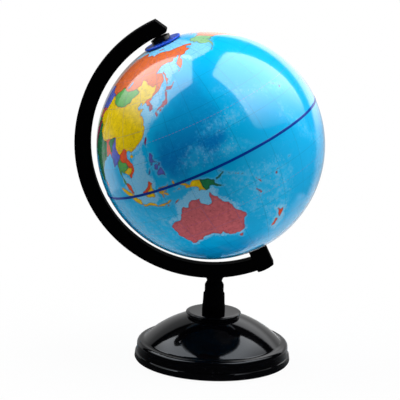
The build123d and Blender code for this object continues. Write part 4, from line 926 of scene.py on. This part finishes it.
def makeSheet():
    s = sheetSet
    material, t, shader, spot = newMaterial("paleSheet")
    axes = t.axes(spot)
    reach = t.hypot(t.math("DIVIDE", axes[0], s["half"]), t.math("DIVIDE", axes[2], s["top"]))
    level = t.step(axes[2], *s["split"], t.step(axes[0], *s["sweep"], *s["high"]), s["low"])
    glow = t.add("Emission", {"Strength": t.times(t.step(reach, *s["edge"]), level)}).outputs[0]
    t.link(glow, t.out, 0)
    t.tree.nodes.remove(shader)
    rows, columns = s["grid"]
    wide, tall = s["margin"] * s["half"], s["margin"] * s["top"]
    across, up = np.meshgrid(np.linspace(-wide, wide, columns), np.linspace(0.0, tall, rows))
    points = np.stack([across, 0 * across + s["far"], up], -1)
    sheet = addMesh("backSheet", points, gridFaces(rows, columns, False), material)
    sheet.visible_camera = sheet.visible_diffuse = sheet.visible_shadow = sheet.visible_transmission = False


makeSheet()

# Sky: white to the camera, soft light from below and from the sides, and a dim room in the gloss.
# Each zone has its edges along x, y and z of the way a ray goes.
skySet = {
    "below": {2: (-0.3, -0.8)}, "right": {0: (0.3, 0.85), 2: (0.5, 0.1)},
    "left": {0: (-0.2, -0.6), 1: (-0.4, 0.2), 2: (-0.05, -0.4)},
    "rear": {0: (-0.15, -0.5), 1: (0.28, 0.5), 2: (0.05, -0.2)}, "table": {1: (0.6, 0.85), 2: (0.1, 0.0)},
    "dim": grey(0.01), "fill": grey(1.5), "rearFill": grey(3.0), "room": grey(0.02), "tableTone": grey(0.75),
}


def makeSky():
    s = skySet
    world = bpy.data.worlds.new("studio")
    world.use_nodes = True
    t = Tree(world.node_tree)
    ahead = t.axes(t.add("TexCoord").outputs["Generated"])
    rays = t.add("LightPath").outputs
    zone = {}
    for name in ("below", "right", "table", "left", "rear"):
        zone[name] = t.times(*(t.step(ahead[axis], *edge) for axis, edge in s[name].items()))
    filled = t.most(t.most(zone["below"], zone["right"]), zone["left"])
    fill = t.blend(zone["rear"], t.blend(filled, s["dim"], s["fill"]), s["rearFill"])
    room = t.blend(t.most(zone["rear"], zone["table"]), s["room"], s["tableTone"])
    soft = t.blend(rays["Is Glossy Ray"], fill, room)
    shown = t.blend(t.most(rays["Is Camera Ray"], rays["Is Transmission Ray"]), soft, grey(1.0))
    t.link(t.add("Background", {"Color": shown, "Strength": 1.0}).outputs[0], t.add("OutputWorld"), 0)
    scene.world = world


makeSky()
scene.view_settings.view_transform = "Standard"
print("camera, floor and light set")
